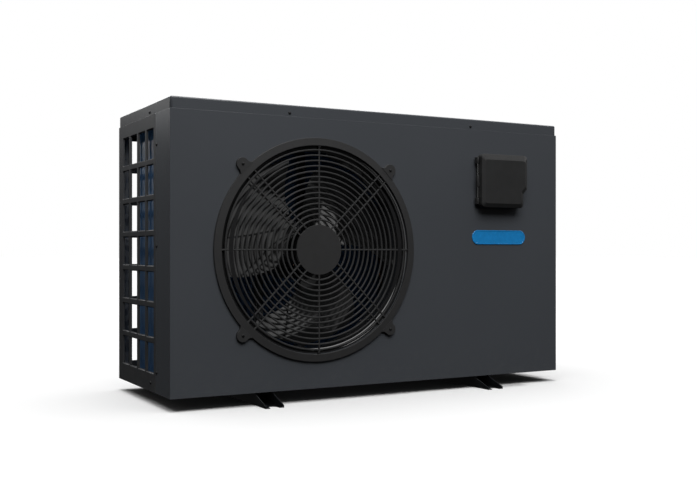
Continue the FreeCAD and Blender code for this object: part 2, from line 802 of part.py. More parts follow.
def top_lid():
    """Shallow pan turned upside down, over the tongues of the panels."""
    body = new_body("top_lid")
    shell = new_sketch(body, "XY_Plane", FLANGE_LOW)
    x0 = f"{LEFT} + lid_inset"
    x1 = f"{RIGHT} - lid_inset"
    y0 = f"{FRONT} + lid_inset"
    y1 = f"{BACK} - lid_inset"
    rectangle(shell, x0, y0, x1, y1, 5)
    block = pad(shell, "lid_flange")
    top = number(TOP)
    rim = dress("Fillet", block, lambda edge: edge.BoundBox.ZMin > top - 0.01, 3)
    body.Tip = rim
    hollow = new_sketch(body, "XY_Plane", FLANGE_LOW)
    rectangle(hollow, f"{x0} + lid_sheet", f"{y0} + lid_sheet",
              f"{x1} - lid_sheet", f"{y1} - lid_sheet", 3.8)
    pocket(hollow, "lid_flange - lid_sheet - 1.5")
    crown = new_sketch(body, "XY_Plane", f"{TOP} - lid_sheet - 1.5")
    rectangle(crown, f"{x0} + 3", f"{y0} + 3", f"{x1} - 3", f"{y1} - 3", 2)
    pocket(crown, 1.5)
    rise = above(LID_SCREW_RISE)
    spots = [(across(x), rise) for x in LID_SCREWS_X]
    holes(body, "XZ_Plane", FRONT, spots, "cabinet_depth")
    holes(body, "YZ_Plane", LEFT, [(behind(LID_SCREW_Y), rise)], "cabinet_width")


def corner_post():
    """Angle section that stiffens the rear left corner."""
    body = new_body("corner_post")
    x0 = f"{LEFT} + grille_plate + 0.2"
    y1 = f"{BACK} - grille_plate - 0.2"
    section = new_sketch(body, "XY_Plane", f"{FLOOR} + 24")
    outline(section, [(x0, f"{y1} - 16"), (f"{x0} + panel_sheet", f"{y1} - 16"),
                      (f"{x0} + panel_sheet", f"{y1} - panel_sheet"),
                      (f"{x0} + 16", f"{y1} - panel_sheet"), (f"{x0} + 16", y1), (x0, y1)])
    pad(section, "cabinet_height - 60")


def partition_plate():
    """Folded wall between the fan chamber and the compressor chamber."""
    body = new_body("partition_plate")
    x0 = across("partition_left")
    y0 = behind(5)
    y1 = behind(288)
    section = new_sketch(body, "XY_Plane", FLOOR)
    outline(section, [(x0, y0), (f"{x0} + 16", y0), (f"{x0} + 16", f"{y0} + lid_sheet"),
                      (f"{x0} + lid_sheet", f"{y0} + lid_sheet"),
                      (f"{x0} + lid_sheet", f"{y1} - lid_sheet"),
                      (f"{x0} + 16", f"{y1} - lid_sheet"), (f"{x0} + 16", y1), (x0, y1)])
    pad(section, "cabinet_height - 12")
    grommet = new_sketch(body, "YZ_Plane", x0)
    circle(grommet, behind(60), above(470), 12)
    pocket(grommet, 20)


# ---------------------------------------------------------------- fan

def fan_guard():
    """Moulded guard: flange with four ears, concentric rings, spokes and a disc."""
    body = new_body("fan_guard")
    place(body, FAN_X, f"{FRONT} - guard_plate", FAN_Z)
    flange = new_sketch(body, "XZ_Plane", 0)
    circle(flange, 0, 0, "guard_outer")
    circle(flange, 0, 0, "guard_inner")
    pad(flange, "guard_plate")
    ear = new_sketch(body, "XZ_Plane", 0, 45)
    circle(ear, "ear_reach", 0, "ear_radius")
    lug = pad(ear, "guard_plate")
    lugs = repeat([lug], "Y_Axis", 4)
    outer = number("guard_outer")

    def in_corner(edge):
        spot = edge.Vertexes[0].Point
        reach = math.hypot(spot.x, spot.z)
        return runs_along(edge, Vector(0, 1, 0)) and abs(reach - outer) < 0.1

    blend = dress("Fillet", lugs, in_corner, 7)
    body.Tip = blend
    hole = new_sketch(body, "XZ_Plane", 0, 45)
    circle(hole, "ear_reach", 0, "screw_hole")
    repeat([pocket(hole, "guard_plate")], "Y_Axis", 4)
    disc = new_sketch(body, "XZ_Plane", 0)
    circle(disc, 0, 0, "guard_disc")
    pad(disc, "guard_wire")
    half = "spoke_width / 2"
    reach = "(guard_inner + 2)"
    cross = new_sketch(body, "XZ_Plane", 0)
    rectangle(cross, "guard_disc - 5", f"-{half}", reach, half)
    repeat([pad(cross, "guard_wire")], "Y_Axis", 4)
    pair = new_sketch(body, "XZ_Plane", 0, 45)
    for side in ("-spoke_spread", "spoke_spread"):
        rectangle(pair, "guard_disc - 5", f"{side} - {half}", reach, f"{side} + {half}")
    repeat([pad(pair, "guard_wire")], "Y_Axis", 4)
    rings = new_sketch(body, "XZ_Plane", 0)
    for index in range(14):
        middle = f"ring_first + {index} * ring_pitch"
        circle(rings, 0, 0, f"{middle} - ring_width / 2")
        circle(rings, 0, 0, f"{middle} + ring_width / 2")
    pad(rings, "guard_wire")


BLADE_FRONT = 18
BLADE_BACK = 86
HUB_FRONT = 28
HUB_DEPTH = 52


def blade_share(radius):
    """0 at the hub, 1 at the blade's tip."""
    hub = number("hub_radius")
    return (radius - hub) / (number("blade_tip") - hub)


def blade_outline(radius):
    """Angles of the blade's front and rear edges at a radius, in degrees."""
    share = blade_share(radius)
    corner = share ** 14
    front_edge = 129 - 2 * share - 24 * share ** 2 + 5 * corner
    rear_edge = 214 - 14 * share - 4 * share ** 2 - 7 * corner
    return front_edge, rear_edge


def blade_surface():
    """Twisted sheet that the blade is cut from, as a grid of points on the helix."""
    near = number(behind(BLADE_FRONT))
    deep = number(behind(BLADE_BACK))
    middle = (near + deep) / 2
    rows = []
    for radius in (30, 60, 90, 120, 150, 180, 210):
        share = min(max(blade_share(radius), 0), 1)
        depth = (deep - near) / 2 * (0.62 + 0.38 * share)
        first, last = blade_outline(
            min(max(radius, number("hub_radius")), number("blade_tip")))
        row = []
        for step in range(9):
            part = -0.15 + 1.3 * step / 8
            turn = math.radians(first + (last - first) * part)
            camber = 5 * math.sin(math.pi * min(max(part, 0), 1))
            y = middle + depth * (2 * part - 1) + camber
            row.append(Vector(radius * math.cos(turn), y, radius * math.sin(turn)))
        rows.append(row)
    surface = Part.BSplineSurface()
    surface.interpolate(rows)
    return surface.toShape()


def blade_prism():
    """Outline of one blade seen along the axis, as a prism."""
    radii = [40, 70, 100, 130, 160, 180, 190, number("blade_tip")]

    def spot(radius, angle):
        turn = math.radians(angle)
        return Vector(radius * math.cos(turn), -400, radius * math.sin(turn))

    def edge(points):
        curve = Part.BSplineCurve()
        curve.interpolate(points)
        return curve.toShape()

    front_points = [spot(radius, blade_outline(radius)[0]) for radius in radii]
    rear_points = [spot(radius, blade_outline(radius)[1]) for radius in radii]
    tip = radii[-1]
    root = radii[0]
    middle = sum(blade_outline(tip)) / 2
    root_middle = sum(blade_outline(root)) / 2
    outer = Part.Arc(front_points[-1], spot(tip, middle), rear_points[-1]).toShape()
    inner = Part.Arc(rear_points[0], spot(root, root_middle), front_points[0]).toShape()
    wire = Part.Wire([edge(front_points), outer, edge(rear_points[::-1]), inner])
    return Part.Face(wire).extrude(Vector(0, 800, 0))


def fan_blades():
    """Hub and three wide swept blades, moulded in one piece."""
    sheet_shape = blade_surface().extrude(Vector(0, number("blade_sheet"), 0))
    blade = sheet_shape.common(blade_prism()).Solids[0]
    y0 = number(behind(HUB_FRONT))
    hub = Part.makeCylinder(number("hub_radius"), HUB_DEPTH, Vector(0, y0, 0),
                            Vector(0, 1, 0))
    rounded = [edge for edge in hub.Edges if abs(edge.BoundBox.YMax - y0) < 0.01]
    hub = hub.makeFillet(8, rounded)
    inside = Part.makeCylinder(number("hub_radius") - 4, 40, Vector(0, y0 + 14, 0),
                               Vector(0, 1, 0))
    boss = Part.makeCylinder(14, HUB_DEPTH, Vector(0, y0, 0), Vector(0, 1, 0))
    boss = boss.makeFillet(2, [boss.Edges[0]])
    shape = hub
    for index in range(3):
        turned = blade.copy()
        turned.rotate(Vector(), Vector(0, 1, 0), 120 * index)
        shape = shape.fuse(turned)
    shape = shape.cut(inside).fuse(boss)
    bore = Part.makeCylinder(number("shaft_radius"), 80, Vector(0, y0 - 10, 0),
                             Vector(0, 1, 0))
    shape = shape.cut(bore).removeSplitter()
    item = register("fan_blades", doc.addObject("Part::Feature", "fan_blades"))
    item.Shape = shape
    place(item, FAN_X, 0, FAN_Z)


def fan_drive():
    """Motor, its bracket, the shaft and the nut that holds the fan on it."""
    shaft = cylinder("Y", FAN_X, behind(14), FAN_Z, "shaft_radius", 150)
    register("fan_shaft", shaft)
    nut = cut(hexagon("Y", FAN_X, behind(19), FAN_Z, 19, 9),
              cylinder("Y", FAN_X, behind(10), FAN_Z, "shaft_radius + 0.02", 40))
    register("fan_nut", nut)
    case = new_body("fan_motor")
    place(case, FAN_X, 0, FAN_Z)
    section = new_sketch(case, "XY_Plane", 0)
    inner = "shaft_radius + shaft_play"
    radius = "motor_radius"
    outline(section, [(inner, behind(88)), (20, behind(88)), (20, behind(98)),
                      (f"{radius} - 14", behind(98)), (radius, behind(112)),
                      (radius, behind(176)), (f"{radius} - 12", behind(188)),
                      (0, behind(188)), (0, behind(170)), (inner, behind(170))])
    revolve(section, 0)
    rails = []
    for side in (-1, 1):
        x = f"{FAN_X} + {side} * 52"
        rails.append(box(f"{x} - 11", behind(189), FLOOR, f"{x} + 11", behind(191), above(568)))
        rails.append(box(f"{x} - 11", behind(191), FLOOR, f"{x} - 9", behind(203), above(568)))
        rails.append(box(f"{x} + 9", behind(191), FLOOR, f"{x} + 11", behind(203), above(568)))
    plate = box(f"{FAN_X} - 63", behind(188), f"{FAN_Z} - 55", f"{FAN_X} + 63", behind(189),
                f"{FAN_Z} + 55")
    top = box(f"{FAN_X} - 63", behind(191), above(556), f"{FAN_X} + 63", behind(215), above(568))
    register("motor_bracket", fuse(*rails, plate, top))


# ---------------------------------------------------------------- evaporator

def evaporator():
    """L-shaped fin block, its end plates, return bends and header."""
    fins = new_body("evaporator_fins")
    block = new_sketch(fins, "XY_Plane", above("coil_low"))
    x0 = across("coil_left")
    y1 = f"({BACK} - coil_back)"
    outline(block, [(x0, behind("coil_front")), (f"{x0} + coil_thick", behind("coil_front")),
                    (f"{x0} + coil_thick", f"{y1} - coil_thick", "coil_bend - coil_thick"),
                    (across("coil_right"), f"{y1} - coil_thick"), (across("coil_right"), y1),
                    (x0, y1, "coil_bend")])
    pad(block, "coil_high - coil_low")

    front = new_body("evaporator_front_plate")
    face = new_sketch(front, "XZ_Plane", f"{behind('coil_front')} - panel_sheet")
    rectangle(face, f"{x0} - 4", FLOOR, f"{x0} + coil_thick + 6", above("coil_high + 6"))
    pad(face, "panel_sheet")
    rear = new_body("evaporator_rear_plate")
    face = new_sketch(rear, "YZ_Plane", across("coil_right"))
    rectangle(face, f"{y1} - coil_thick - 6", FLOOR, f"{y1} + 6", above("coil_high + 6"))
    pad(face, "panel_sheet")

    bends = []
    steps = 10
    for row in (11, 33):
        for index in range(steps):
            rise = number(above(40)) + 50 * index
            spot = Vector(number(f"{x0} + {row}"), number(f"{behind('coil_front')} - panel_sheet"),
                          rise)
            bends.append(half_ring(spot, Vector(1, 0, 0), UP))
        for index in range(steps - 1):
            rise = number(above(65)) + 50 * index
            spot = Vector(number(f"{across('coil_right')} + panel_sheet"),
                          number(f"{y1} - {row}"), rise)
            bends.append(half_ring(spot, Vector(0, 1, 0), UP))
    group("evaporator_bends", bends)
    right = f"{across('coil_right')} + panel_sheet"
    header = fuse(cylinder("Z", f"{right} + 34", f"{y1} - 22", above(70), 9, 430),
                  cylinder("X", right, f"{y1} - 22", above(90), 4.8, 30),
                  cylinder("X", right, f"{y1} - 22", above(285), 4.8, 30),
                  cylinder("X", right, f"{y1} - 22", above(480), 4.8, 30))
    register("evaporator_header", header)


def half_ring(centre, axis, start):
    """Return bend: half of a torus whose open ends lie in a plane through its centre."""
    pitch = 12.5
    ring = Part.makeTorus(pitch, 4.8, Vector(), UP, 0, 360, 180)
    ring.Placement = Placement(centre, Rotation(start, Vector(), axis, "ZXY"))
    return ring


# ---------------------------------------------------------------- refrigerant circuit

# Places of the parts, measured from the cabinet's left and front faces.
ACCUMULATOR = (692, 228)
REVERSING_VALVE = (731, 232)
DRIER = (912, 120)
EXPANSION_VALVE = (668, 40)
HEADER = (667.5, 318)
COMPRESSOR_FOOT = 19
ACCUMULATOR_LOW = 110
ACCUMULATOR_HIGH = 294
DRIER_LOW = 203
DRIER_HIGH = 337
VALVE_LOW = 70
COIL_LEADS = 415


def compressor():
    """Hermetic shell with three feet, its rubber mounts, terminal cap and accumulator."""
    body = new_body("compressor")
    place(body, across("compressor_left"), behind("compressor_back"), above(0))
    section = new_sketch(body, "XZ_Plane", 0)
    radius = "compressor_radius"
    outline(section, [(0, 22), (f"{radius} - 18", 22), (radius, 36), (radius, 292),
                      (f"{radius} - 10", 310), (f"{radius} - 30", 322), (0, 326)])
    revolve(section, 0)
    foot = new_sketch(body, "XY_Plane", COMPRESSOR_FOOT)
    outline(foot, [(-82, -20), (-10, -62), (50, -62), (76, -40), (76, 40), (50, 62),
                   (-10, 62), (-82, 20)])
    pad(foot, 3)
    spots = [(62, -44), (62, 44), (-70, 0)]
    holes(body, "XY_Plane", COMPRESSOR_FOOT, spots, 3, 8.2)

    rubbers = []
    origin = point(across("compressor_left"), behind("compressor_back"), FLOOR)
    foot_level = number(above(COMPRESSOR_FOOT))
    for x, y in spots:
        base = origin + Vector(x, y, 0)
        rise = foot_level - base.z
        mount = Part.makeCylinder(14, rise, base)
        mount = mount.fuse(Part.makeCylinder(8, rise + 5, base))
        rubbers.append(mount.cut(Part.makeCylinder(4, rise + 5, base)))
    group("compressor_rubbers", rubbers)
    cap = new_body("compressor_cap")
    place(cap, across("compressor_left"), behind("compressor_back"), above(0))
    section = new_sketch(cap, "XZ_Plane", 0)
    outline(section, [(0, 326), (24, 324), (24, 342), (20, 346), (0, 346)])
    revolve(section, 0)
    tank = new_body("suction_accumulator")
    place(tank, across(ACCUMULATOR[0]), behind(ACCUMULATOR[1]), above(0))
    section = new_sketch(tank, "XZ_Plane", 0)
    outline(section, [(0, ACCUMULATOR_LOW), (18, ACCUMULATOR_LOW),
                      (32, ACCUMULATOR_LOW + 12), (32, ACCUMULATOR_HIGH - 12),
                      (18, ACCUMULATOR_HIGH), (0, ACCUMULATOR_HIGH)])
    revolve(section, 0)


def pipework():
    """Four-way valve, expansion valve, filter drier and the copper between them."""
    valve_x, valve_y = REVERSING_VALVE
    level = 385
    port = 26
    stub = 24
    barrel = cylinder("X", across(valve_x - 44), behind(valve_y), above(level), 14, 88)
    stubs = [cylinder("Z", across(valve_x), behind(valve_y), above(level), 6.5, stub)]
    for step in (-port, 0, port):
        stubs.append(cylinder("Z", across(valve_x + step), behind(valve_y),
                              above(level - stub), 6.5, stub))
    pilot = box(across(valve_x - 20), behind(valve_y - 34), above(level - 10),
                across(valve_x + 16), behind(valve_y - 8), above(level + 12))
    register("four_way_valve", fuse(barrel, pilot, *stubs))

    top = level + stub
    low = level - stub
    left = valve_x - port
    right = valve_x + port
    over = 428
    under = 340
    hot = copper([(768, 130, 319), (768, 130, over), (valve_x, 180, over),
                  (valve_x, valve_y, over), (valve_x, valve_y, top)], 12)
    group("discharge_pipe", [hot])
    tank_x, tank_y = ACCUMULATOR
    tank_top = copper([(valve_x, valve_y, low), (valve_x, valve_y, 325),
                       (tank_x, tank_y, 325), (tank_x, tank_y, ACCUMULATOR_HIGH)], 12)
    tank_low = copper([(tank_x, tank_y, ACCUMULATOR_LOW), (tank_x, tank_y, 80),
                       (708.6, 186.4, 80)], 12)
    group("suction_line", [tank_top, tank_low])
    cold = copper([(left, valve_y, low), (left, valve_y, under), (left, 275, under),
                   (HEADER[0], 275, under), (HEADER[0], 309, under)], 12)
    group("evaporator_pipe", [cold])
    coil_x = 858
    coil_y = 235
    crossing = 425
    gas = copper([(right, valve_y, low), (right, valve_y, under), (775, 200, under),
                  (775, 200, crossing), (coil_x, coil_y, crossing),
                  (coil_x, coil_y, COIL_LEADS)], 8)
    group("gas_pipe", [gas])

    drier_x, drier_y = DRIER
    drier = fuse(cylinder("Z", across(drier_x), behind(drier_y), above(DRIER_LOW + 12), 19,
                          DRIER_HIGH - DRIER_LOW - 24),
                 cylinder("Z", across(drier_x), behind(drier_y), above(DRIER_LOW), 9,
                          DRIER_HIGH - DRIER_LOW))
    register("filter_drier", drier)
    needle_x, needle_y = EXPANSION_VALVE
    valve = fuse(cylinder("Z", across(needle_x), behind(needle_y), above(VALVE_LOW), 11, 34),
                 cylinder("Z", across(needle_x), behind(needle_y), above(VALVE_LOW + 34), 18,
                          30),
                 cylinder("Z", across(needle_x), behind(needle_y), above(VALVE_LOW + 64), 6,
                          10))
    register("expansion_valve", valve)
    lead_x = 908
    to_drier = copper([(lead_x, coil_y, COIL_LEADS), (lead_x, coil_y, crossing),
                       (lead_x, 200, crossing), (drier_x, drier_y, crossing),
                       (drier_x, drier_y, DRIER_HIGH)], 8)
    to_valve = copper([(drier_x, drier_y, DRIER_LOW), (drier_x, drier_y, 85),
                       (drier_x, needle_y, 85), (needle_x + 11, needle_y, 85)], 18)
    run = 50
    to_coil = copper([(needle_x, needle_y, VALVE_LOW), (needle_x, needle_y, run),
                      (663, 60, run), (663, 270, run), (*HEADER, run),
                      (*HEADER, VALVE_LOW)], 8)
    group("liquid_line", [to_drier, to_valve, to_coil])


def heat_exchanger():
    """Plastic vessel with two water ports, and the titanium coil inside it."""
    x = across("exchanger_left")
    y = behind("exchanger_back")
    low = 22
    high = 400
    outer = [cylinder("Z", x, y, above(low), "exchanger_radius", high - low),
             cylinder("Z", x, y, above(high - 28), "exchanger_radius + 5", 28),
             cylinder("Z", x, y, FLOOR, "exchanger_radius - 15", "20 - panel_sheet + 5")]
    inner = [cylinder("Z", x, y, above(low + 8), "exchanger_radius - exchanger_wall",
                      high - low - 16)]
    for rise in ("inlet_rise", "outlet_rise"):
        outer.append(cylinder("X", x, y, above(rise), "port_radius", f"{RIGHT} + 14 - {x}"))
        inner.append(cylinder("X", x, y, above(rise), "pipe_bore - 3", f"{RIGHT} + 20 - {x}"))
    for side in (0, "coil_radius"):
        inner.append(cylinder("Z", f"{x} + {side}", y, above(high - 40), "tube_radius + 0.1", 60))
    inner.append(cylinder("Y", x, behind(140), above(200), 8.1, 40))
    register("heat_exchanger_shell", cut(fuse(*outer), *inner))

    turns = 12
    pitch = 20
    radius = number("tube_radius")
    reach = number("coil_radius")
    bottom = point(x, y, above(70))
    helix = Part.makeHelix(pitch, pitch * turns, reach)
    helix.Placement = Placement(bottom, Rotation())
    start = bottom + Vector(reach, 0, 0)
    ring = Part.Circle(start, Vector(0, 2 * math.pi * reach, pitch), radius).toShape()
    coil = Part.Wire(helix.Edges).makePipeShell([Part.Wire(ring)], True, True)
    end = start + Vector(0, 0, turns * pitch)
    lead_top = number(above(COIL_LEADS))
    riser = Part.makeCylinder(radius, lead_top - end.z, end)
    under = Vector(0, 0, -25)
    middle = Vector(bottom.x, bottom.y, lead_top)
    back = tube([start, start + under, bottom + under, middle], radius, 12)
    beads = [Part.makeSphere(radius + 1, spot) for spot in (start, end)]
    item = register("titanium_coil", doc.addObject("Part::Feature", "titanium_coil"))
    item.Shape = coil.multiFuse([riser, back] + beads)

    sensor = fuse(cylinder("Y", x, behind(146), above(200), 8, 32),
                  box(f"{x} - 14", behind(120), above(180), f"{x} + 14", behind(146), above(226)))
    register("flow_switch", sensor)


def unions():
    """Union nut and glued pipe socket on each water port."""
    y = behind("exchanger_back")
    for name in ("inlet", "outlet"):
        z = above(f"{name}_rise")
        socket = new_body(f"{name}_pipe_socket")
        section = new_sketch(socket, "XY_Plane", 0)
        bore = "pipe_bore"
        mouth = "union_reach + head_rise"
        outline(section, [(bore, 14.2), ("port_radius + 2", 14.2), ("port_radius + 2", 19),
                          ("port_radius - 1", 19), ("port_radius - 1", mouth), (bore, mouth)])
        revolve(section, 0)
        socket.Placement = Placement(Vector(), Rotation(Vector(0, 0, 1), -90))
        place(socket, RIGHT, y, z)
        nut = new_body(f"{name}_union_nut")
        section = new_sketch(nut, "XY_Plane", 0)
        outline(section, [("port_radius + 0.2", 3), ("port_radius + 10", 3),
                          ("port_radius + 10", 26), ("port_radius + 7", 29),
                          ("port_radius - 0.8", 29), ("port_radius - 0.8", 19.2),
                          ("port_radius + 2.2", 19.2), ("port_radius + 2.2", 14),
                          ("port_radius + 0.2", 14)])
        revolve(section, 0)
        grip = new_sketch(nut, "XZ_Plane", 5)
        circle(grip, "port_radius + 11", 0, 2.6)
        grips = repeat([pocket(grip, 19)], "Y_Axis", 16)
        nut.Tip = grips
        nut.Placement = Placement(Vector(), Rotation(Vector(0, 0, 1), -90))
        place(nut, RIGHT, y, z)


# ---------------------------------------------------------------- electrics

def electrics():
    """Open tray above the compressor with the board, terminals and capacitor."""
    tray = new_body("electrical_box")
    x0 = across(655)
    x1 = across(938)
    y0 = behind(40)
    y1 = behind(250)
    block = new_sketch(tray, "XY_Plane", above(440))
    rectangle(block, x0, y0, x1, y1, 4)
    pad(block, 110)
    inside = new_sketch(tray, "XY_Plane", above(442))
    rectangle(inside, f"{x0} + 2", f"{y0} + 2", f"{x1} - 2", f"{y1} - 2", 2)
    pocket(inside, 120)
    access = new_sketch(tray, "YZ_Plane", f"{x1} - 4")
    rectangle(access, behind(66), above(452), behind(210), above(560), 3)
    pocket(access, 10)

    board = new_body("control_board")
    sheet_area = new_sketch(board, "XY_Plane", above(452))
    rectangle(sheet_area, across(670), behind(60), across(830), behind(230), 3)
    pad(sheet_area, 1.6)
    legs = new_sketch(board, "XY_Plane", above(442))
    for x in (678, 822):
        for y in (68, 222):
            circle(legs, across(x), behind(y), 3.5)
    pad(legs, 10)
    chips = new_sketch(board, "XY_Plane", above(453.6))
    for x0_chip, y0_chip, wide, deep in ((684, 80, 40, 30), (740, 84, 26, 26), (784, 90, 28, 46),
                                         (690, 130, 30, 60), (735, 150, 34, 40)):
        rectangle(chips, across(x0_chip), behind(y0_chip), across(x0_chip + wide),
                  behind(y0_chip + deep))
    pad(chips, 16)

    block_x = across(880)
    rail = box(block_x, behind(70), above(442), f"{block_x} + 34", behind(160), above(466))
    wells = [cylinder("Z", f"{block_x} + {x}", behind(78 + 15 * step), above(458), 4, 20)
             for step in range(6) for x in (9, 25)]
    register("terminal_block", cut(rail, *wells))
    can = fuse(cylinder("Z", across(860), behind(200), above(442), 22, 78),
               cylinder("Z", across(852), behind(200), above(520), 3, 8),
               cylinder("Z", across(868), behind(200), above(520), 3, 8))
    register("run_capacitor", can)

    cover = new_body("terminal_cover")
    face = new_sketch(cover, "YZ_Plane", RIGHT)
    rectangle(face, behind(60), above(445), behind(150), above(550), 8)
    reach = 14
    block = pad(face, reach)
    far = number(RIGHT) + reach
    rim = dress("Fillet", block, lambda edge: edge.BoundBox.XMin > far - 0.01, 4)
    cover.Tip = rim
    inside = new_sketch(cover, "YZ_Plane", RIGHT)
    rectangle(inside, behind(63), above(448), behind(147), above(547), 5)
    pocket(inside, 11)
    grip = new_sketch(cover, "YZ_Plane", f"{RIGHT} + 12")
    rectangle(grip, behind(90), above(450), behind(120), above(462), 4)
    pocket(grip, 5)

    y, z = behind(GLAND[0]), above(GLAND[1])
    gland = fuse(hexagon("X", RIGHT, y, z, 27, 7),
                 cylinder("X", f"{RIGHT} + 7", y, z, 12.5, 14),
                 cylinder("X", f"{RIGHT} - 9", y, z, GLAND_NECK, 9))
    register("cable_gland", cut(gland, cylinder("X", f"{RIGHT} - 12", y, z, 6.5, 40)))

    x, y = across(DRAIN[0]), behind(DRAIN[1])
    tip = 4
    collar = 22
    spout = fuse(cylinder("Z", x, y, tip, SPOUT_RADIUS, collar - tip),
                 cylinder("Z", x, y, collar, SPOUT_RADIUS + 3, f"foot_height - 0.2 - {collar}"),
                 cylinder("Z", x, y, collar, SPOUT_RADIUS - 0.1, f"{FLOOR} - {collar}"),
                 cylinder("Z", x, y, FLOOR, 14, 1.5))
    register("drain_nozzle", cut(spout, cylinder("Z", x, y, 0, 6.5, 40)))


# ---------------------------------------------------------------- controller

CONTROL_X = across("controller_left")
CONTROL_Z = above("controller_low")
HINGE_X = across("hinge_left")
HINGE_Y = f"({FRONT} - hinge_reach)"
BUTTONS = {"power_button": 26, "mode_button": 48, "up_button": 72, "down_button": 94}
BUTTON_RISE = 30
DISPLAY = (22, 50, 98, 92)
LUG_SPANS = ((4, 18), (96, 110))


def controller_base():
    """Box let into the front panel, with the fixed hinge lugs on its left edge."""
    body = new_body("controller_base")
    wide = f"({CONTROL_X} + controller_width)"
    high = f"({CONTROL_Z} + controller_height)"
    rim = new_sketch(body, "XZ_Plane", f"{FRONT} - controller_base_depth")
    rectangle(rim, CONTROL_X, CONTROL_Z, wide, high, 9)
    pad(rim, "controller_base_depth")
    tub = new_sketch(body, "XZ_Plane", FRONT)
    rectangle(tub, f"{CONTROL_X} + 11.3", f"{CONTROL_Z} + 11.3", f"{wide} - 11.3",
              f"{high} - 11.3", 2.7)
    pad(tub, 24)
    hollow = new_sketch(body, "XZ_Plane", f"{FRONT} - controller_base_depth")
    rectangle(hollow, f"{CONTROL_X} + 5.7", f"{CONTROL_Z} + 5.7", f"{wide} - 5.7",
              f"{high} - 5.7", 4)
    pocket(hollow, "controller_base_depth - 3")
    well = new_sketch(body, "XZ_Plane", f"{FRONT} - 3.5")
    rectangle(well, f"{CONTROL_X} + 13.5", f"{CONTROL_Z} + 13.5", f"{wide} - 13.5",
              f"{high} - 13.5", 2)
    pocket(well, 25.5)
    for low, top in LUG_SPANS:
        lug = new_sketch(body, "XY_Plane", f"{CONTROL_Z} + {low}")
        circle(lug, HINGE_X, HINGE_Y, "hinge_radius")
        pad(lug, top - low)
        arm = new_sketch(body, "XY_Plane", f"{CONTROL_Z} + {low}")
        rectangle(arm, f"{HINGE_X} - hinge_radius", HINGE_Y, f"{CONTROL_X} + 0.5",
                  f"{FRONT} - 4")
        pad(arm, top - low)
        bore = new_sketch(body, "XY_Plane", f"{CONTROL_Z} + {low}")
        circle(bore, HINGE_X, HINGE_Y, "pin_radius")
        pocket(bore, top - low)
    pin = cylinder("Z", HINGE_X, HINGE_Y, f"{CONTROL_Z} + 4", "pin_radius", 106)
    register("controller_hinge_pin", pin)


def controller_face():
    """Plate with the display window and the holes for the buttons."""
    plate = new_body("controller_faceplate")
    y0 = f"{FRONT} - controller_base_depth + 0.2"
    face = new_sketch(plate, "XZ_Plane", y0)
    rectangle(face, f"{CONTROL_X} + 6", f"{CONTROL_Z} + 6",
              f"{CONTROL_X} + controller_width - 6", f"{CONTROL_Z} + controller_height - 6", 3.5)
    pad(face, 2.8)
    window = new_sketch(plate, "XZ_Plane", y0)
    x0, z0, x1, z1 = DISPLAY
    rectangle(window, f"{CONTROL_X} + {x0}", f"{CONTROL_Z} + {z0}", f"{CONTROL_X} + {x1}",
              f"{CONTROL_Z} + {z1}", 3)
    pocket(window, 2.8)
    spots = [(f"{CONTROL_X} + {x}", f"{CONTROL_Z} + {BUTTON_RISE}") for x in BUTTONS.values()]
    holes(plate, "XZ_Plane", y0, spots, 2.8, "button_radius + button_play")
    glass = new_body("controller_display")
    pane = new_sketch(glass, "XZ_Plane", f"{y0} + 0.3")
    rectangle(pane, f"{CONTROL_X} + {x0} + 0.1", f"{CONTROL_Z} + {z0} + 0.1",
              f"{CONTROL_X} + {x1} - 0.1", f"{CONTROL_Z} + {z1} - 0.1", 2.9)
    pad(pane, 2.5)
    for label, x in BUTTONS.items():
        button = new_body(label)
        place(button, f"{CONTROL_X} + {x}", y0, f"{CONTROL_Z} + {BUTTON_RISE}")
        section = new_sketch(button, "XY_Plane", 0)
        outline(section, [(0, -1.6), ("button_radius - 1", -1.6), ("button_radius", -0.6),
                          ("button_radius", 3.4), ("button_radius + 1.5", 3.4),
                          ("button_radius + 1.5", 4.8), (0, 4.8)])
        revolve(section, 0)


